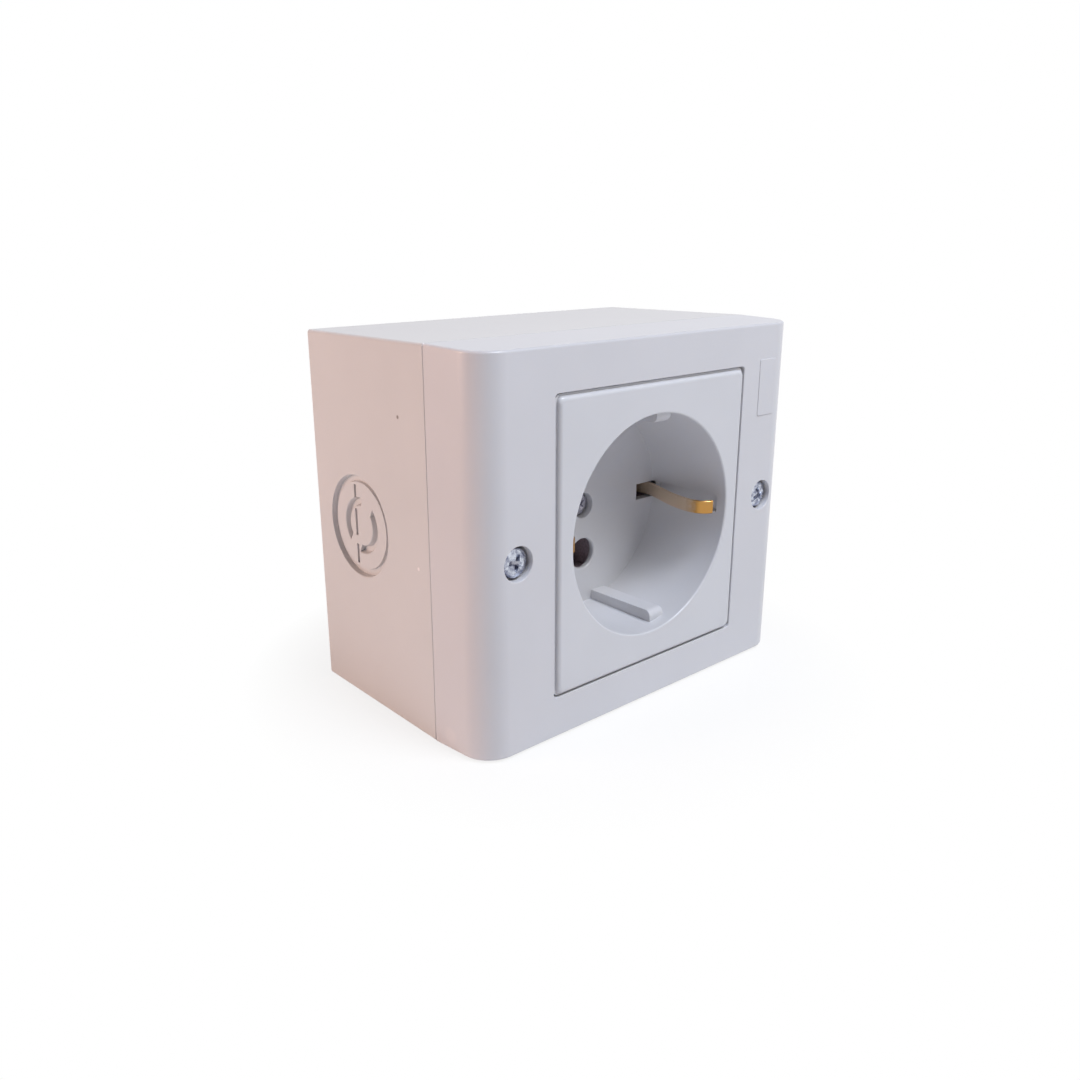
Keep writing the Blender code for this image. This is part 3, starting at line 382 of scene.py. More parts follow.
def combine(target, operation, *tools):
    """Cut or join tool bodies, one after the other, and remove them."""
    for tool in tools:
        modifier = target.modifiers.new(operation.lower(), "BOOLEAN")
        modifier.operation = operation
        modifier.solver = "EXACT"
        modifier.object = tool
        bake(target)
        bpy.data.objects.remove(tool, do_unlink=True)
    return target


def cut(target, *tools):
    """Take the tools out of the target."""
    return combine(target, "DIFFERENCE", *tools)


def join(target, *tools):
    """Add the tools to the target."""
    return combine(target, "UNION", *tools)


def bake(obj):
    """Replace a mesh by what its modifiers make of it."""
    bpy.context.view_layer.update()
    made = obj.evaluated_get(bpy.context.evaluated_depsgraph_get())
    mesh = bpy.data.meshes.new_from_object(made)
    obj.modifiers.clear()
    obj.data = mesh


def smooth(obj, angle=32.0):
    """Smooth shading that keeps sharp edges and flat faces."""
    bm = bmesh.new()
    bm.from_mesh(obj.data)
    bmesh.ops.remove_doubles(bm, verts=bm.verts, dist=TINY)
    bmesh.ops.dissolve_degenerate(bm, edges=bm.edges, dist=TINY)
    bm.to_mesh(obj.data)
    bm.free()
    obj.data.polygons.foreach_set("use_smooth", [True] * len(obj.data.polygons))
    obj.data.set_sharp_from_angle(angle=math.radians(angle))
    weighted = obj.modifiers.new("flat faces", "WEIGHTED_NORMAL")
    weighted.keep_sharp = True
    weighted.weight = 100
    return obj


# Materials

def add_node(tree, kind, links=(), **settings):
    """Add one node; settings name its attributes or inputs, links pair an input with an output."""
    node = tree.nodes.new(kind)
    for key, value in settings.items():
        if hasattr(node, key):
            setattr(node, key, value)
        else:
            node.inputs[key.replace("_", " ")].default_value = value
    for key, output in links:
        tree.links.new(output, node.inputs[key])
    return node


def new_material(name):
    """An empty node material and its tree, shader and object coordinates."""
    material = bpy.data.materials.new(name)
    material.use_nodes = True
    tree = material.node_tree
    tree.nodes.clear()
    shader = tree.nodes.new("ShaderNodeBsdfPrincipled")
    output = tree.nodes.new("ShaderNodeOutputMaterial")
    tree.links.new(shader.outputs["BSDF"], output.inputs["Surface"])
    coordinates = tree.nodes.new("ShaderNodeTexCoord")
    return material, tree, shader, coordinates.outputs["Object"]


def mix_colours(tree, factor, first, second, blend="MIX"):
    """Mix two colours, each a socket or a plain colour, by a factor that is a socket or a number."""
    node = add_node(tree, "ShaderNodeMix", data_type="RGBA", blend_type=blend)
    for place, value in ((0, factor), (6, first), (7, second)):
        if isinstance(value, bpy.types.NodeSocket):
            tree.links.new(value, node.inputs[place])
        else:
            node.inputs[place].default_value = value
    return node.outputs[2]


def noise(tree, place, size, detail=3.0):
    """Noise with cells of about this size in metres."""
    return add_node(tree, "ShaderNodeTexNoise", [("Vector", place)], Scale=1.0 / size,
                    Detail=detail).outputs["Fac"]


def remap(tree, value, low, high, to_low, to_high):
    """A value between low and high, clamped and scaled to between two others."""
    node = add_node(tree, "ShaderNodeMapRange", [("Value", value)], From_Min=low, From_Max=high,
                    To_Min=to_low, To_Max=to_high)
    return node.outputs["Result"]


def bump(tree, height, distance, strength, under=None):
    """A normal pushed by a height, over the normal of another bump."""
    links = [("Height", height)] + ([("Normal", under)] if under else [])
    node = add_node(tree, "ShaderNodeBump", links, Strength=strength, Distance=distance)
    return node.outputs["Normal"]


def depth_of(tree, place):
    """Depth behind the cover's front face, from the object's own Y."""
    along = add_node(tree, "ShaderNodeSeparateXYZ", [("Vector", place)]).outputs["Y"]
    return remap(tree, along, FRONT_Y, FRONT_Y + 1.0, 0.0, 1.0)


# Where most of the values of a noise lie
NOISE = (0.3, 0.7)


def moulded_abs(name, base, marks=()):
    """Injection moulded ABS: the eye gets an even soft gloss, faint flow waves and a few small marks."""
    material, tree, shader, place = new_material(name)
    flow = noise(tree, place, 14 * MM, detail=2.0)
    skin = noise(tree, place, 0.25 * MM)
    last = mix_colours(tree, 1.0, base, remap(tree, flow, *NOISE, 0.98, 1.01), "MULTIPLY")
    for centre, radius, mark_colour in marks:
        away = add_node(tree, "ShaderNodeVectorMath", [(0, place)], operation="DISTANCE")
        away.inputs[1].default_value = centre
        spot = remap(tree, away.outputs["Value"], radius * 0.5, radius, 1.0, 0.0)
        last = mix_colours(tree, spot, last, mark_colour)
    tree.links.new(last, shader.inputs["Base Color"])
    tree.links.new(remap(tree, flow, *NOISE, 0.29, 0.33), shader.inputs["Roughness"])
    grain = bump(tree, skin, distance=0.002 * MM, strength=0.5)
    waves = bump(tree, flow, distance=0.1 * MM, strength=0.3, under=grain)
    tree.links.new(waves, shader.inputs["Normal"])
    shader.inputs["IOR"].default_value = 1.53
    return material


def rolled_brass(name, bright, dull, tarnished):
    """Rolled brass sheet: fine lines along the roll and dull patches, with painted shade and reflection
    deeper in: paler, duller and less metallic the deeper it lies.
    """
    material, tree, shader, place = new_material(name)
    stretched = add_node(tree, "ShaderNodeMapping", [("Vector", place)])
    stretched.inputs["Scale"].default_value = (1.0, 0.15, 1.0)
    lines = noise(tree, stretched.outputs["Vector"], 0.25 * MM, detail=4.0)
    patches = noise(tree, place, 1.2 * MM)
    worn = mix_colours(tree, remap(tree, patches, 0.45, 0.7, 0.0, 0.55), bright, dull)
    uneven = add_node(tree, "ShaderNodeMath", [(0, patches), (2, depth_of(tree, place))],
                      operation="MULTIPLY_ADD")
    uneven.inputs[1].default_value = 2.0 * MM
    depth = uneven.outputs["Value"]
    # Painted shade and reflection: with depth the colour turns to the deep colour and the metal share
    # falls, in place of the dim light and reflections deep in the well
    deep = remap(tree, depth, 3.6 * MM, 6.0 * MM, 0.0, 1.0)
    tree.links.new(mix_colours(tree, deep, worn, tarnished), shader.inputs["Base Color"])
    tree.links.new(remap(tree, deep, 0.0, 1.0, 0.33, 0.5), shader.inputs["Roughness"])
    tree.links.new(remap(tree, depth, 8.0 * MM, 15.0 * MM, 1.0, 0.35), shader.inputs["Metallic"])
    tree.links.new(bump(tree, lines, distance=0.015 * MM, strength=0.4), shader.inputs["Normal"])
    return material


def plated_steel(name, bright, dull, dirt, roughness, dirt_depth):
    """Zinc plated steel: bright with cloudy bluish patches, and with painted shade that darkens the cross
    from a given depth on.
    """
    material, tree, shader, place = new_material(name)
    clouds = noise(tree, place, 0.9 * MM)
    fine = noise(tree, place, 0.22 * MM, detail=4.0)
    tint = mix_colours(tree, remap(tree, clouds, 0.42, 0.62, 0.0, 0.85), bright, dull)
    # Painted shade: from this depth inwards the colour turns towards the dark shade colour, in place of the
    # shadow in the cross
    painted_shade_amount = remap(tree, depth_of(tree, place), dirt_depth, dirt_depth + 0.5 * MM, 0.0, 0.75)
    tree.links.new(mix_colours(tree, painted_shade_amount, tint, dirt), shader.inputs["Base Color"])
    matt = remap(tree, fine, *NOISE, roughness - 0.05, roughness + 0.12)
    tree.links.new(matt, shader.inputs["Roughness"])
    waves = bump(tree, clouds, distance=0.08 * MM, strength=0.6)
    skin = bump(tree, fine, distance=0.02 * MM, strength=0.5, under=waves)
    tree.links.new(skin, shader.inputs["Normal"])
    shader.inputs["Metallic"].default_value = 1.0
    return material


def moulded_resin(name, base):
    """Phenolic moulding: pale and matt, with a fine filler grain in its colour and its skin; the pale
    colour is partly its own and partly painted light for the light that reaches inside the housing.
    """
    material, tree, shader, place = new_material(name)
    filler = noise(tree, place, 0.4 * MM, detail=4.0)
    tone = remap(tree, filler, *NOISE, 0.8, 1.2)
    tree.links.new(mix_colours(tree, 1.0, base, tone, "MULTIPLY"), shader.inputs["Base Color"])
    tree.links.new(bump(tree, filler, distance=0.03 * MM, strength=0.3), shader.inputs["Normal"])
    shader.inputs["Roughness"].default_value = 0.55
    return material


# Small marks on the left side: colour, depth, height and radius in millimetres, and the X of the side
BOX_MARKS = (("speck", 20.45, 21.2, 0.4), ("pale_speck", 16.2, -3.2, 0.4))
COVER_MARKS = (("smudge", 9.0, -30.6, 1.8),)
MARKS_X = -38.8 * MM

FINISHES = {}


def make_finishes(colours):
    """All materials of the object, made once."""
    tint = {key: tuple(getattr(colours, key)) for key in type(colours).__annotations__}

    def placed(marks):
        return [((MARKS_X, depth_to_y(depth * MM), height * MM), radius * MM, tint[key])
                for key, depth, height, radius in marks]

    brass, dull_brass = tint["brass"], tint["brass_dull"]
    FINISHES["cover"] = moulded_abs("moulded white ABS, cover", tint["cover"], placed(COVER_MARKS))
    FINISHES["box"] = moulded_abs("moulded white ABS, wall box", tint["box"], placed(BOX_MARKS))
    FINISHES["plate"] = moulded_abs("moulded white ABS, plate and well", tint["plate"])
    FINISHES["brass"] = rolled_brass("rolled brass sheet", brass, dull_brass, tint["brass_tarnished"])
    FINISHES["bush"] = rolled_brass("turned brass", brass, dull_brass, dull_brass)
    # Both kinds of screw get painted shade in their crosses, from just behind each head's face
    FINISHES["zinc"] = plated_steel("bright zinc plated steel", tint["zinc"], tint["zinc_dull"],
                                    tint["dirt"], roughness=0.22, dirt_depth=0.85 * MM)
    FINISHES["dull zinc"] = plated_steel("dull zinc plated steel", tint["worn_zinc"],
                                         tint["worn_zinc_dull"], tint["dirt"], roughness=0.5,
                                         dirt_depth=19.4 * MM)
    FINISHES["resin"] = moulded_resin("moulded phenolic resin", tint["resin"])


def finish_of(name):
    """A finish by its name; all are made the first time that one is asked for."""
    if not FINISHES:
        make_finishes(bpy.context.scene.socket_colours)
    return FINISHES[name]


def finish_piece(obj, name, finish, slot_name, *nodes):
    """Name a piece, give it its finish and let it stand for its CAD nodes."""
    obj.name = name
    obj.data.name = name
    obj.data.materials.clear()
    obj.data.materials.append(finish_of(finish))
    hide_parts(*nodes)
    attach(obj, BODY)
    return obj


# Shapes of the pieces

# How far the sides of the ring groove slope in, as a share of its depth below the disc
RING_SLOPE = 0.25


def knockout_disc(h, side, face_x, depth, steps=96):
    """Cutter of the knock-out's sunk disc, with a softened rim and a deeper groove round it."""
    radius, soft = h.knockout_radius, h.knockout_rim
    low, deep, slope = h.knockout_disc_sink, h.knockout_groove_sink, h.knockout_rim / 2
    inner = radius - h.knockout_groove
    profile = [(radius + soft, PAST)] + [(radius + out, -fall) for out, fall in rim_arc(soft)]
    profile += [(radius - slope, -deep), (inner + slope, -deep), (inner - TINY, -low)]
    return loft("disc", [[(side * (face_x + out), depth_to_y(depth) + a, b) for a, b in circle(size, steps)]
                         for size, out in profile])


def knockout_ring(h, side, face_x, depth, steps=96):
    """Cutter of the ring groove in the knock-out's disc, turned about an axis across the housing."""
    radius, inner = h.knockout_inner_radius, h.knockout_inner_radius - h.knockout_inner_groove
    level, sink, soft = h.knockout_disc_sink, h.knockout_sink, h.knockout_rim
    slope = RING_SLOPE * (sink - level)
    arc = rim_arc(soft)
    section = [(radius + soft, PAST)] + [(radius + out, -level - fall) for out, fall in arc]
    section += [(radius - slope, -sink), (inner + slope, -sink)]
    section += [(inner - out, -level - fall) for out, fall in reversed(arc)] + [(inner - soft, PAST)]
    loops = []
    for step in range(steps):
        angle = math.tau * step / steps
        along, up = math.cos(angle), math.sin(angle)
        loops.append([(side * (face_x + out), depth_to_y(depth) + r * along, r * up) for r, out in section])
    return loft("ring_groove", loops, endless=True)


def knockout(h, side):
    """Cutters of a cable knock-out: a sunk disc, a ring groove with bridges, and slits."""
    depth = HOUSING_DEPTH - h.knockout_from_wall
    face_x = h.seam_width / 2 - h.box_draft * (depth - h.cover_depth) / (HOUSING_DEPTH - h.cover_depth)
    ring = knockout_ring(h, side, face_x, depth)
    half, reach = h.bridge_width / 2, h.knockout_radius - h.knockout_rim
    bridge = loft("bridge", [[(x, -half, -reach), (x, half, -reach), (x, half, reach), (x, -half, reach)]
                             for x in (-2 * PAST, 2 * PAST)])
    bridge.location = (side * face_x, depth_to_y(depth), 0.0)
    bridge.rotation_euler = (h.bridge_turn, 0.0, 0.0)
    cut(ring, bridge)
    # One slit above the ring groove, one within it and one below
    inside, far = h.knockout_inner_radius - h.knockout_inner_groove, h.slit_reach
    spans = ((inside, far), (h.slit_break - inside, inside - h.slit_break / 2), (-far, -inside))
    x = sorted((side * (face_x - h.knockout_sink), side * (face_x + PAST)))
    middle = depth + h.slit_offset
    across = (middle - h.slit_width / 2, middle + h.slit_width / 2)
    slits = [block("slit", x, across, span) for span in spans]
    return [knockout_disc(h, side, face_x, depth), ring, *slits]


def box_form(h):
    """Outer form of the wall box, from the seam to the wall."""
    front, back = h.cover_depth + h.seam_gap, HOUSING_DEPTH
    rim, heel, corner = 0.12 * MM, 0.3 * MM, h.edge_radius + 0.1 * MM
    middle = ROUND_MIDDLE * heel
    steps = ((front, rim), (front + rim, 0.0), (back - heel, 0.0), (back - middle, middle), (back, heel))
    loops = []
    for depth, inset in steps:
        shrink = 2 * (h.box_draft * (depth - front) / (back - front) + inset)
        loop = rounded_rectangle(h.seam_width - shrink, h.seam_height - shrink, corner)
        loops.append(at_depth(loop, depth))
    return loft("back_box_form", loops)


def wall_slot(h, side):
    """A long hole in the back: upright on the left and level on the right."""
    long, wide = h.wall_slot_length, h.wall_slot_width
    size = (wide, long) if side < 0 else (long, wide)
    loop = rounded_rectangle(*size, wide / 2 - 10 * TINY, steps=10)
    ends = (HOUSING_DEPTH - h.box_wall - PAST, HOUSING_DEPTH + PAST)
    return loft("wall_slot", [at_depth(loop, end, x=side * h.wall_slot_place) for end in ends])


def cover_screw_place(h):
    """Distance of the cover screws from the middle: half way between the window and the outside."""
    return (h.seam_width + h.window_width) / 4


class SOCKET_OT_back_box(Operator):
    """Build the wall box with its side knock-outs, wall slots and inside"""
    bl_idname = "socket.back_box"
    bl_label = "Wall Box"

    def execute(self, context):
        h = context.scene.socket_housing
        box = box_form(h)
        front, back = h.cover_depth + h.seam_gap, HOUSING_DEPTH
        join(box, slab("tongue", h.seam_width, h.seam_height, h.tongue_inset,
                       (front - h.tongue_reach, front + PAST)))
        cut(box, slab("cavity", h.seam_width, h.seam_height, h.box_wall + h.box_draft,
                      (front - h.tongue_reach - PAST, back - h.box_wall)))
        post_gap = 0.2 * MM
        post, bush_hole = (front + post_gap, back - PAST), (front - PAST, front + h.bush_depth)
        base_post, pilot = (h.base_post_front, back - PAST), (h.base_post_front - PAST, h.pilot_end)
        screw_x, base_z = cover_screw_place(h), h.seam_height / 2 - h.base_post_inset
        for side in (-1, 1):
            cut(box, *knockout(h, side))
            join(box, rod("post", h.post_radius, post, x=side * screw_x))
            cut(box, rod("bush_hole", h.bush_radius, bush_hole, x=side * screw_x))
            join(box, rod("base_post", h.base_post_radius, base_post, z=side * base_z))
            cut(box, rod("base_pilot", h.pilot_radius, pilot, z=side * base_z))
            cut(box, wall_slot(h, side))
        finish_piece(smooth(box), "wall_box", "box", "white_abs", "back_box")
        return {"FINISHED"}


def cover_outline(h, steps=24):
    """Plan outline of the cover as (x, depth) points, with two round front corners."""
    front_x = h.cover_draft - h.seam_width / 2
    outline = [(-h.seam_width / 2, h.cover_depth)]
    outline += [(front_x + inset, rise) for inset, rise in quarter(h.upright_radius, steps)]
    return outline + [(-x, depth) for x, depth in reversed(outline)]


def cover_form(h):
    """Outer form of the cover: its plan outline stacked along the height, with fine rounded edges."""
    radius = h.upright_radius
    corner_x = h.seam_width / 2 - h.cover_draft - radius

    def level(inset, drop, sign):
        """The outline near the top or the bottom, this much further in and nearer the middle."""
        loop = []
        for x, depth in cover_outline(h):
            if depth > radius - TINY:
                x -= math.copysign(inset, x)
            else:
                centre_x = math.copysign(corner_x, x)
                shrink = (radius - inset) / radius
                x, depth = centre_x + (x - centre_x) * shrink, radius + (depth - radius) * shrink
            height = h.seam_height / 2 - h.cover_draft * (1 - depth / h.cover_depth) - drop
            loop.append((x, depth_to_y(depth), sign * height))
        return loop

    rounds = rim_arc(h.edge_radius, 5)
    loops = [level(inset, drop, -1) for inset, drop in rounds]
    loops += [level(inset, drop, 1) for inset, drop in reversed(rounds)]
    return loft("front_cover_form", loops)


class SOCKET_OT_front_cover(Operator):
    """Build the cover with its rounded upright edges, window, screw holes and bare pad"""
    bl_idname = "socket.front_cover"
    bl_label = "Cover"

    def execute(self, context):
        h = context.scene.socket_housing
        m = context.scene.socket_metal
        cover = cover_form(h)
        wall, end = h.cover_wall, h.cover_depth + PAST
        corner = h.upright_radius - wall
        half_x, half_z = h.seam_width / 2 - wall - corner, h.seam_height / 2 - wall
        cut(cover, slab("cavity", h.seam_width, h.seam_height, wall, (wall + corner, end)),
            block("cavity_front", (-half_x, half_x), (wall, wall + corner + PAST), (-half_z, half_z)))
        cut(cover, slab("rebate", h.seam_width, h.seam_height, h.rebate_inset,
                        (h.cover_depth - h.rebate_depth, end)))
        join(cover, slab("collar", h.window_width, h.window_height, -h.collar, (wall / 2, h.collar_depth)))
        screw_x = cover_screw_place(h)
        for side in (-1, 1):
            join(cover, rod("boss", h.boss_radius, (wall / 2, h.cover_depth), x=side * screw_x))
        cut(cover, flared_cutter("window", lambda grow: rounded_rectangle(
            h.window_width + 2 * grow, h.window_height + 2 * grow, h.window_corner + grow),
            (0.0, h.cover_depth), h.lip_radius))
        seat = m.cover_head_sink + m.cover_head_height + m.clearance
        for side in (-1, 1):
            cut(cover, flared_cutter("head_hole", lambda grow: circle(m.cover_hole_radius + grow, 96),
                                     (0.0, seat), h.lip_radius, x=side * screw_x))
            cut(cover, rod("shank_hole", m.cover_shank_radius + m.clearance, (PAST, end),
                           x=side * screw_x))
        pad_corner, pad_edge = 0.3 * MM, 0.12 * MM
        join(cover, crowned_block("bare_pad", (h.pad_width, h.pad_height), (-h.pad_proud, wall / 2),
                                  pad_corner, pad_edge, x=h.pad_place, z=h.pad_rise))
        finish_piece(smooth(cover), "cover", "cover", "white_abs", "front_cover")
        return {"FINISHED"}


def plate_form(w):
    """Plate with a rounded front edge and a thin skirt behind it."""
    front, step = -w.plate_proud, w.plate_step
    end = front + w.skirt_depth
    plate = crowned_block("plate_form", (w.plate_width, w.plate_height), (front, end), w.plate_corner,
                          w.plate_edge, steps=6)
    loop = rounded_rectangle(w.plate_width + 2 * step, w.plate_height + 2 * step, w.plate_corner)
    join(plate, loft("step", [at_depth(loop, w.plate_step_depth), at_depth(loop, end)]))
    return cut(plate, slab("hollow", w.plate_width, w.plate_height, w.plate_wall,
                           (front + w.plate_thickness, end + PAST)))


def rib_form(w, side):
    """Guide rib with a rounded nose and softened long edges."""
    front = -w.plate_proud
    inner, outer = w.well_radius - w.rib_height, w.well_radius + w.well_wall / 2
    near, far = front + w.rib_setback, front + w.well_depth + w.well_floor / 2
    x0, x1 = w.rib_offset, w.rib_offset + w.rib_width
    soft = 0.18 * MM
    softest = ROUND_MIDDLE * soft
    loops = []
    for back, rise in quarter(w.rib_nose, 8):
        top, y = inner + rise, depth_to_y(near + back)
        upright = [(x0, outer), (x0, top + soft), (x0 + softest, top + softest), (x0 + soft, top)]
        upright += [(x0 + x1 - x, z) for x, z in reversed(upright)]
        loops.append([(x, y, side * z) for x, z in upright])
    loops.append([(x, depth_to_y(far), z) for x, _, z in loops[-1]])
    return loft("rib", loops)


def well_holes(w, side):
    """Cutters of a pin hole, above or below, and of an earth clip's slot and groove, left or right."""
    floor = w.well_depth - w.plate_proud
    back = floor + w.well_floor + PAST
    radius, lead, wide = w.pin_radius, w.pin_lead, floor + w.pin_depth
    profile = [(radius + lead, floor - PAST), (radius + lead, floor),
               (radius + 0.45 * lead, floor + 0.3 * lead), (radius, floor + lead), (radius, wide),
               (radius + 2 * lead, wide), (radius + 2 * lead, back)]
    pin_hole = turned("pin_hole", profile, z=side * w.pin_spacing / 2, steps=96)
    half, start = w.slot_width / 2, w.well_radius - w.well_draft - w.slot_length
    slot_end, groove_end = w.well_radius + w.well_wall + PAST, w.well_radius + w.slot_groove
    slot = block("slot", sorted((side * start, side * slot_end)), (floor - w.slot_window, back),
                 (-half, half))
    groove = block("groove", sorted((side * start, side * groove_end)),
                   (w.slot_groove_setback - w.plate_proud, floor - PAST), (-half, half))
    return [pin_hole, slot, groove]


class SOCKET_OT_socket_plate(Operator):
    """Build the plate and plug well with its holes, slots and guide ribs"""
    bl_idname = "socket.socket_plate"
    bl_label = "Plate and Well"

    def execute(self, context):
        h = context.scene.socket_housing
        w = context.scene.socket_well
        m = context.scene.socket_metal
        steps = w.ring_steps
        front = -w.plate_proud
        floor = front + w.well_depth
        back = floor + w.well_floor
        plate = plate_form(w)
        join(plate, rod("well_body", w.well_radius + w.well_wall, (front + w.plate_thickness / 2, back),
                        steps=steps))
        join(plate, rod("boss", w.boss_radius, (floor + w.well_floor / 2, w.boss_end)))
        lip = [(w.well_radius + rise, front + inset) for inset, rise in quarter(w.well_lip, 5)]
        foot_radius = w.well_radius - w.well_draft
        foot = [(foot_radius - inset, floor - rise) for inset, rise in quarter(w.floor_radius, 5)]
        cut(plate, turned("well", [(w.well_radius + w.well_lip, front - PAST), *lip, *foot], steps=steps))
        for side in (-1, 1):
            join(plate, rib_form(w, side))
            cut(plate, *well_holes(w, side))
        head_hole = m.plate_head_radius + m.clearance
        seat = floor + m.plate_head_sink + m.plate_head_height + m.clearance
        cut(plate, flared_cutter("screw_hole", lambda grow: circle(head_hole + grow, 64), (floor, seat),
                                 h.lip_radius))
        cut(plate, rod("shank_hole", m.plate_shank_radius + m.clearance, (floor, w.boss_end + PAST)))
        finish_piece(smooth(plate), "plate_and_well", "plate", "white_abs", "socket_plate")
        return {"FINISHED"}


# Shares of a screw head's radius: reach of its cross, edge of its dome and of its shoulder
CROSS_REACH, DOME_EDGE, SHOULDER = 0.74, 0.93, 0.985
# Share of its reach that the cross has at its foot, and share of its width that doesn't taper
CROSS_FOOT, CROSS_STRAIGHT = 0.4, 0.4
# Steps of a head's dome, share of the head's radius at its middle and share of the shank's at its end
DOME_STEPS, DOME_MIDDLE, BLUNT_END = 8, 0.02, 0.6


def cross_cutter(x, front, reach, m, twist):
    """A tapered cross, wide at the head's face and narrow at its foot."""
    made = []
    for angle in (twist, twist + math.pi / 2):
        loops = []
        for depth, share in ((front - PAST, 1.0), (front, 1.0), (front + m.cross_sink, CROSS_FOOT)):
            taper = CROSS_STRAIGHT + (1 - CROSS_STRAIGHT) * share
            a, b = reach * share, m.cross_width / 2 * taper
            corners = ((-a, -b), (a, -b), (a, b), (-a, b))
            loops.append(at_depth([(u * math.cos(angle) - v * math.sin(angle),
                                    u * math.sin(angle) + v * math.cos(angle)) for u, v in corners],
                                  depth, x=x))
        made.append(loft("cross", loops))
    return made


def screw_form(x, front, head, shank, crown, twist, m):
    """A turned screw with a cross in its crowned head; head is (radius, height), shank (radius, end)."""
    radius, height = head
    shank_radius, end = shank
    edge, shoulder, heel, point = 0.1 * MM, 0.28 * MM, 0.1 * MM, 0.5 * MM
    top, foot = front + crown, front + height
    profile = [(DOME_MIDDLE * radius, front)]
    for step in range(1, DOME_STEPS + 1):
        share = step / DOME_STEPS
        profile.append((radius * share * DOME_EDGE, front + crown * share * share))
    profile += [(radius * SHOULDER, top + edge), (radius, top + shoulder), (radius, foot - heel),
                (radius - heel, foot), (shank_radius, foot), (shank_radius, end - point),
                (BLUNT_END * shank_radius, end)]
    screw = turned("screw", profile, x=x, steps=72)
    cut(screw, *cross_cutter(x, front, radius * CROSS_REACH, m, twist))
    return smooth(screw, 40.0)


class SOCKET_OT_screws(Operator):
    """Build the two cover screws and the screw in the well's floor"""
    bl_idname = "socket.screws"
    bl_label = "Screws"

    def execute(self, context):
        h = context.scene.socket_housing
        m = context.scene.socket_metal
        w = context.scene.socket_well
        cover_crown, plate_crown = 0.5 * MM, 0.25 * MM
        head = (m.cover_head_radius, m.cover_head_height)
        shank = (m.cover_shank_radius, m.cover_head_sink + m.cover_head_height + m.shank_length)
        for side, word, twist in ((-1, "left", m.left_turn), (1, "right", m.right_turn)):
            screw = screw_form(side * cover_screw_place(h), m.cover_head_sink, head, shank, cover_crown,
                               twist, m)
            finish_piece(screw, "cover_screw_head_" + word, "zinc", "zinc_steel", "cover_screw_" + word)
        front = w.well_depth - w.plate_proud + m.plate_head_sink
        screw = screw_form(0.0, front, (m.plate_head_radius, m.plate_head_height),
                           (m.plate_shank_radius, PLATE_SCREW_HIGH.y - FRONT_Y), plate_crown,
                           m.well_turn, m)
        finish_piece(screw, "well_screw", "dull zinc", "zinc_steel", "plate_screw")
        return {"FINISHED"}


def smooth_path(points, steps):
    """Points along a smooth curve through the given ones."""
    path = []
    for index in range(len(points) - 1):
        before, start = Vector(points[max(index - 1, 0)]), Vector(points[index])
        end, after = Vector(points[index + 1]), Vector(points[min(index + 2, len(points) - 1)])
        leave, reach = (end - before) * 0.5, (after - start) * 0.5
        for step in range(steps):
            t = step / steps
            path.append(start * (2 * t**3 - 3 * t**2 + 1) + leave * (t**3 - 2 * t**2 + t)
                        + end * (3 * t**2 - 2 * t**3) + reach * (t**3 - t**2))
    path.append(Vector(points[-1]))
    return path


def strip_form(path, width, thickness):
    """Bent sheet metal along (x, depth) points, with softened edges."""
    soft = 0.1 * MM
    half, side = thickness / 2, width / 2
    section = [(half, side - soft), (half - soft, side), (-half + soft, side), (-half, side - soft),
               (-half, -side + soft), (-half + soft, -side), (half - soft, -side), (half, -side + soft)]
    loops = []
    for index, point in enumerate(path):
        ahead = path[min(index + 1, len(path) - 1)] - path[max(index - 1, 0)]
        normal = Vector((-ahead.y, ahead.x)).normalized()
        loops.append([(point.x + normal.x * across, depth_to_y(point.y + normal.y * across), z)
                      for across, z in section])
    return loft("strip", loops)


# Middle line of each clip from its tip inwards: distance from the middle and depth, in millimetres
RIGHT_CLIP = ((17.4, 1.0), (16.5, 1.3), (15.6, 2.2), (15.1, 3.6), (15.0, 5.2), (15.35, 7.4),
              (16.0, 10.0), (17.15, 13.1))
LEFT_CLIP = ((18.5, 1.3), (17.8, 2.0), (17.15, 3.4), (16.75, 5.2), (16.9, 7.4), (17.3, 10.0),
             (17.95, 13.1))


class SOCKET_OT_earth_strap(Operator):
    """Build the brass earth strap with its two sprung clips"""
    bl_idname = "socket.earth_strap"
    bl_label = "Earth Strap"

    def execute(self, context):
        w = context.scene.socket_well
        m = context.scene.socket_metal
        bar_end = STRAP_HIGH.y - FRONT_Y
        bar = (bar_end - m.bar_thickness, bar_end)
        floor, past_floor = w.well_depth - w.plate_proud, 2.4 * MM
        clips = []
        for side, path in ((-1, LEFT_CLIP), (1, RIGHT_CLIP)):
            points = [(x * MM, depth * MM) for x, depth in path]
            points += [(m.clip_root, floor), (m.clip_root, floor + past_floor)]
            curve = smooth_path(points, 10) + [Vector((m.clip_root, (bar[0] + bar[1]) / 2))]
            clips.append(strip_form([Vector((side * p.x, p.y)) for p in curve], m.clip_width,
                                    m.strap_thickness))
        strap = join(*clips)
        end_x, half = m.clip_root + m.strap_thickness / 2, m.clip_width / 2
        join(strap, block("bar", (-end_x, end_x), bar, (-half, half)))
        inner_x, half = m.clip_root - m.strap_thickness, m.strap_width / 2
        join(strap, block("wide_bar", (-inner_x, inner_x), bar, (-half, half)))
        tab = (STRAP_LOW.x + m.tab_start, STRAP_LOW.x + m.tab_end)
        join(strap, block("tab", tab, bar, (STRAP_LOW.z, 0.0)))
        cut(strap, rod("screw_hole", m.plate_shank_radius + m.clearance, (bar[0] - PAST, bar[1] + PAST)))
        finish_piece(smooth(strap, 40.0), "earth_clips", "brass", "brass_sheet", "earth_strap")
        return {"FINISHED"}


def cad_finish(name):
    """Name of the finish that a CAD piece gets."""
    if name.endswith("_contact") or name == "earth_strap":
        return "brass"
    if name.startswith("cover_insert"):
        return "bush"
    if name == "contact_base":
        return "resin"
    return "cover" if name in ("front_cover", "back_box", "socket_plate") else "zinc"


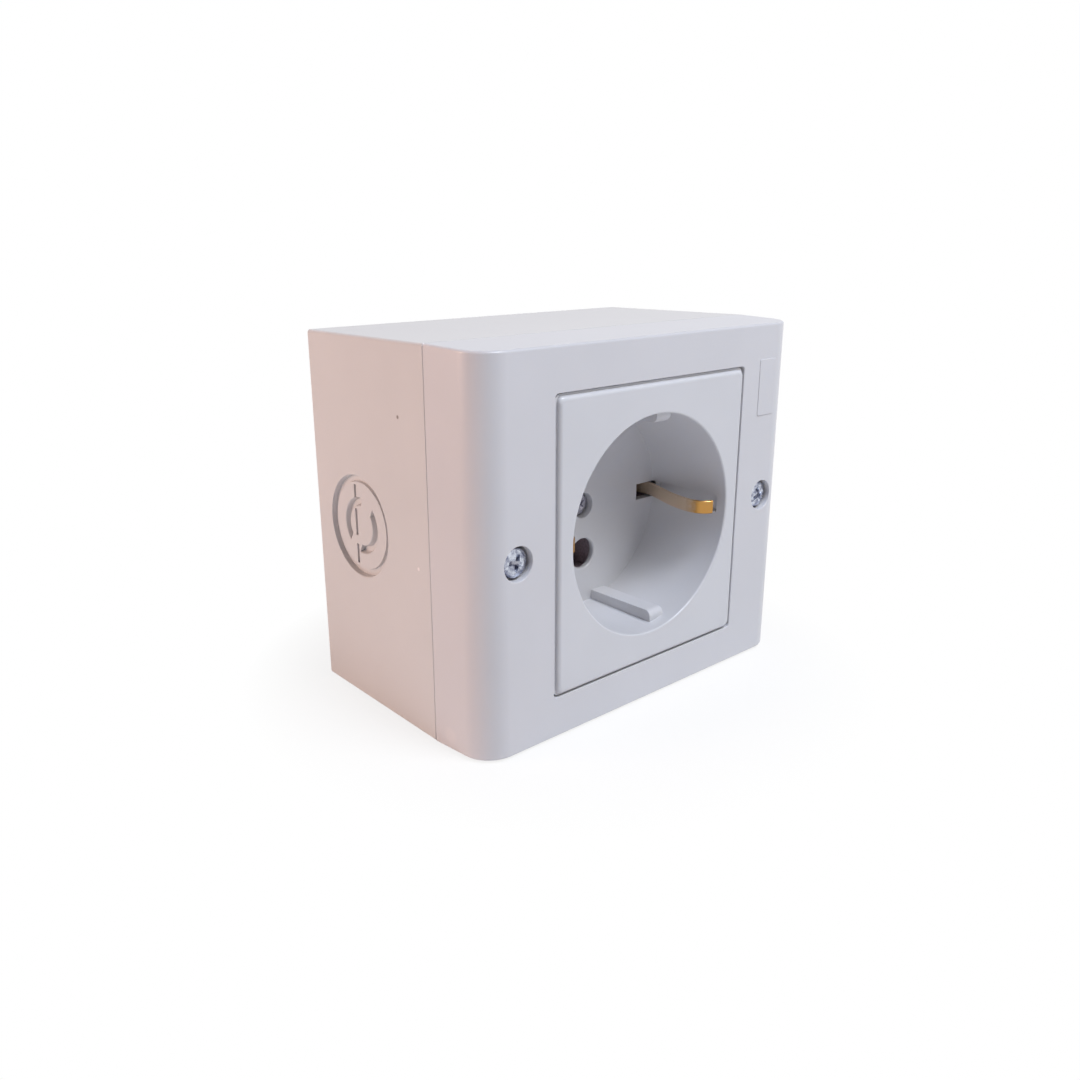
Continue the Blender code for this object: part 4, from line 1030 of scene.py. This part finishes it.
class SOCKET_OT_inner_parts(Operator):
    """Give the parts inside the housing their finishes"""
    bl_idname = "socket.inner_parts"
    bl_label = "Inner Parts"

    def execute(self, context):
        for name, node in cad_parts.items():
            node.data.materials.clear()
            node.data.materials.append(finish_of(cad_finish(name)))
        return {"FINISHED"}


# Stage: name, place, watts and colour of each softbox
LAMPS = (("key softbox", (0.115, -0.379, 0.495), 2.05, "#fff8e8"),
         ("cool top softbox", (0.088, -0.32, 0.537), 2.14, "#c8dcff"),
         ("warm side softbox", (-0.52, 0.24, 0.12), 2.08, "#ffd6c2"))
LAMP_SIZE = (0.26, 0.24)
MIDDLE = (0.0, -0.024, 0.0)

# Soft light of the world, and the floor's gap under the housing
WORLD_TINT, WORLD_STRENGTH = "#f5efff", 0.07
FLOOR_GAP = 0.05 * MM
# Distances from the middle between which the floor turns white, and how white it is nearer than that
FADE_START, FADE_END, NEAR_WHITE = 0.04, 0.062, 0.8
WHITE = (1.0, 1.0, 1.0, 1.0)
# Width of the camera's sensor in millimetres, and the nearest and farthest that it sees in metres
SENSOR_WIDTH, CLIP_NEAR, CLIP_FAR = 36.0, 0.005, 10.0


def area_light(name, place, power, tint):
    """A soft lamp turned to the middle of the housing."""
    data = bpy.data.lights.new(name, "AREA")
    data.shape = "RECTANGLE"
    data.size, data.size_y = LAMP_SIZE
    data.energy = power
    data.color = hex_to_linear(tint)[:3]
    lamp = bpy.data.objects.new(name, data)
    lamp.location = place
    lamp.rotation_euler = (Vector(MIDDLE) - Vector(place)).to_track_quat("-Z", "Y").to_euler()
    bpy.context.scene.collection.objects.link(lamp)


def seen_as_white(tree):
    """One where a ray comes from the camera, a mirror reflection or glass, and nought elsewhere."""
    path = add_node(tree, "ShaderNodeLightPath").outputs
    seen = add_node(tree, "ShaderNodeMath", [(0, path["Is Camera Ray"]), (1, path["Is Glossy Ray"])],
                    operation="MAXIMUM").outputs["Value"]
    return add_node(tree, "ShaderNodeMath", [(0, seen), (1, path["Is Transmission Ray"])],
                    operation="MAXIMUM").outputs["Value"]


def studio_world():
    """White to the camera, a soft pale grey light to everything else."""
    world = bpy.data.worlds.new("studio")
    world.use_nodes = True
    tree = world.node_tree
    tree.nodes.clear()
    soft = add_node(tree, "ShaderNodeBackground", Color=hex_to_linear(WORLD_TINT), Strength=WORLD_STRENGTH)
    white = add_node(tree, "ShaderNodeBackground", Color=WHITE, Strength=1.0)
    mix = add_node(tree, "ShaderNodeMixShader", [(0, seen_as_white(tree)), (1, soft.outputs["Background"]),
                                                 (2, white.outputs["Background"])])
    add_node(tree, "ShaderNodeOutputWorld", [("Surface", mix.outputs["Shader"])])
    bpy.context.scene.world = world


def floor_material():
    """Matt white paper: near the object it keeps a soft shadow, and away from it turns to plain white."""
    material, tree, shader, place = new_material("matt white paper floor")
    shader.inputs["Base Color"].default_value = hex_to_linear("#f4f4f4")
    shader.inputs["Roughness"].default_value = 0.9
    away = add_node(tree, "ShaderNodeVectorMath", [(0, place)], operation="LENGTH").outputs["Value"]
    fade = remap(tree, away, FADE_START, FADE_END, NEAR_WHITE, 1.0)
    seen = add_node(tree, "ShaderNodeMath", [(0, seen_as_white(tree)), (1, fade)], operation="MULTIPLY")
    glow = add_node(tree, "ShaderNodeEmission", Color=WHITE, Strength=1.0)
    mix = add_node(tree, "ShaderNodeMixShader", [(0, seen.outputs["Value"]), (1, shader.outputs["BSDF"]),
                                                 (2, glow.outputs["Emission"])])
    output = next(node for node in tree.nodes if node.type == "OUTPUT_MATERIAL")
    tree.links.new(mix.outputs["Shader"], output.inputs["Surface"])
    return material


def paper_floor(size):
    """The floor just under the housing."""
    bm = bmesh.new()
    bmesh.ops.create_grid(bm, x_segments=1, y_segments=1, size=size)
    floor = mesh_object("paper_floor", bm)
    floor.location = (MIDDLE[0], MIDDLE[1], CAD_BOX[0].z - FLOOR_GAP)
    floor.data.materials.append(floor_material())


def photo_camera(settings):
    """The camera that the photo was taken with, as solved from it."""
    data = bpy.data.cameras.new("camera")
    data.lens = settings.camera_lens
    data.sensor_width = SENSOR_WIDTH
    data.clip_start, data.clip_end = CLIP_NEAR, CLIP_FAR
    camera = bpy.data.objects.new("camera", data)
    camera.location = settings.camera_place
    camera.rotation_euler = (math.pi / 2 - settings.camera_tilt, 0.0, -settings.camera_turn)
    bpy.context.scene.collection.objects.link(camera)
    return camera


class SOCKET_OT_stage(Operator):
    """Set the floor, the lamps, the world and the camera"""
    bl_idname = "socket.stage"
    bl_label = "Studio"

    def execute(self, context):
        scene = context.scene
        paper_floor(scene.socket_stage.floor_size)
        studio_world()
        for name, place, power, tint in LAMPS:
            area_light(name, place, power, tint)
        scene.camera = photo_camera(scene.socket_stage)
        scene.view_settings.view_transform = "Standard"
        return {"FINISHED"}


class SOCKET_PT_panel(Panel):
    """Lists the socket's pieces in the sidebar"""
    bl_label = "Surface Mounted Socket"
    bl_idname = "SOCKET_PT_panel"
    bl_space_type = "VIEW_3D"
    bl_region_type = "UI"
    bl_category = "Socket"

    def draw(self, context):
        for group in GROUPS:
            box = self.layout.box()
            settings = getattr(context.scene, group)
            for key in type(settings).__annotations__:
                box.prop(settings, key)
        for operator in OPERATORS:
            self.layout.operator(operator.bl_idname)


GROUPS = {"socket_housing": SocketHousing, "socket_well": SocketWell, "socket_metal": SocketMetal,
          "socket_colours": SocketColours, "socket_stage": SocketStage}
OPERATORS = [SOCKET_OT_back_box, SOCKET_OT_front_cover, SOCKET_OT_socket_plate, SOCKET_OT_screws,
             SOCKET_OT_earth_strap, SOCKET_OT_inner_parts, SOCKET_OT_stage]


def register():
    for name, group in GROUPS.items():
        bpy.utils.register_class(group)
        setattr(bpy.types.Scene, name, PointerProperty(type=group))
    for operator in OPERATORS:
        bpy.utils.register_class(operator)
    bpy.utils.register_class(SOCKET_PT_panel)


def unregister():
    bpy.utils.unregister_class(SOCKET_PT_panel)
    for operator in reversed(OPERATORS):
        bpy.utils.unregister_class(operator)
    for name, group in reversed(list(GROUPS.items())):
        delattr(bpy.types.Scene, name)
        bpy.utils.unregister_class(group)


def main():
    register()
    bpy.ops.socket.back_box()
    bpy.ops.socket.front_cover()
    bpy.ops.socket.socket_plate()
    bpy.ops.socket.screws()
    bpy.ops.socket.earth_strap()
    bpy.ops.socket.inner_parts()
    bpy.ops.socket.stage()


if __name__ == "__main__":
    main()
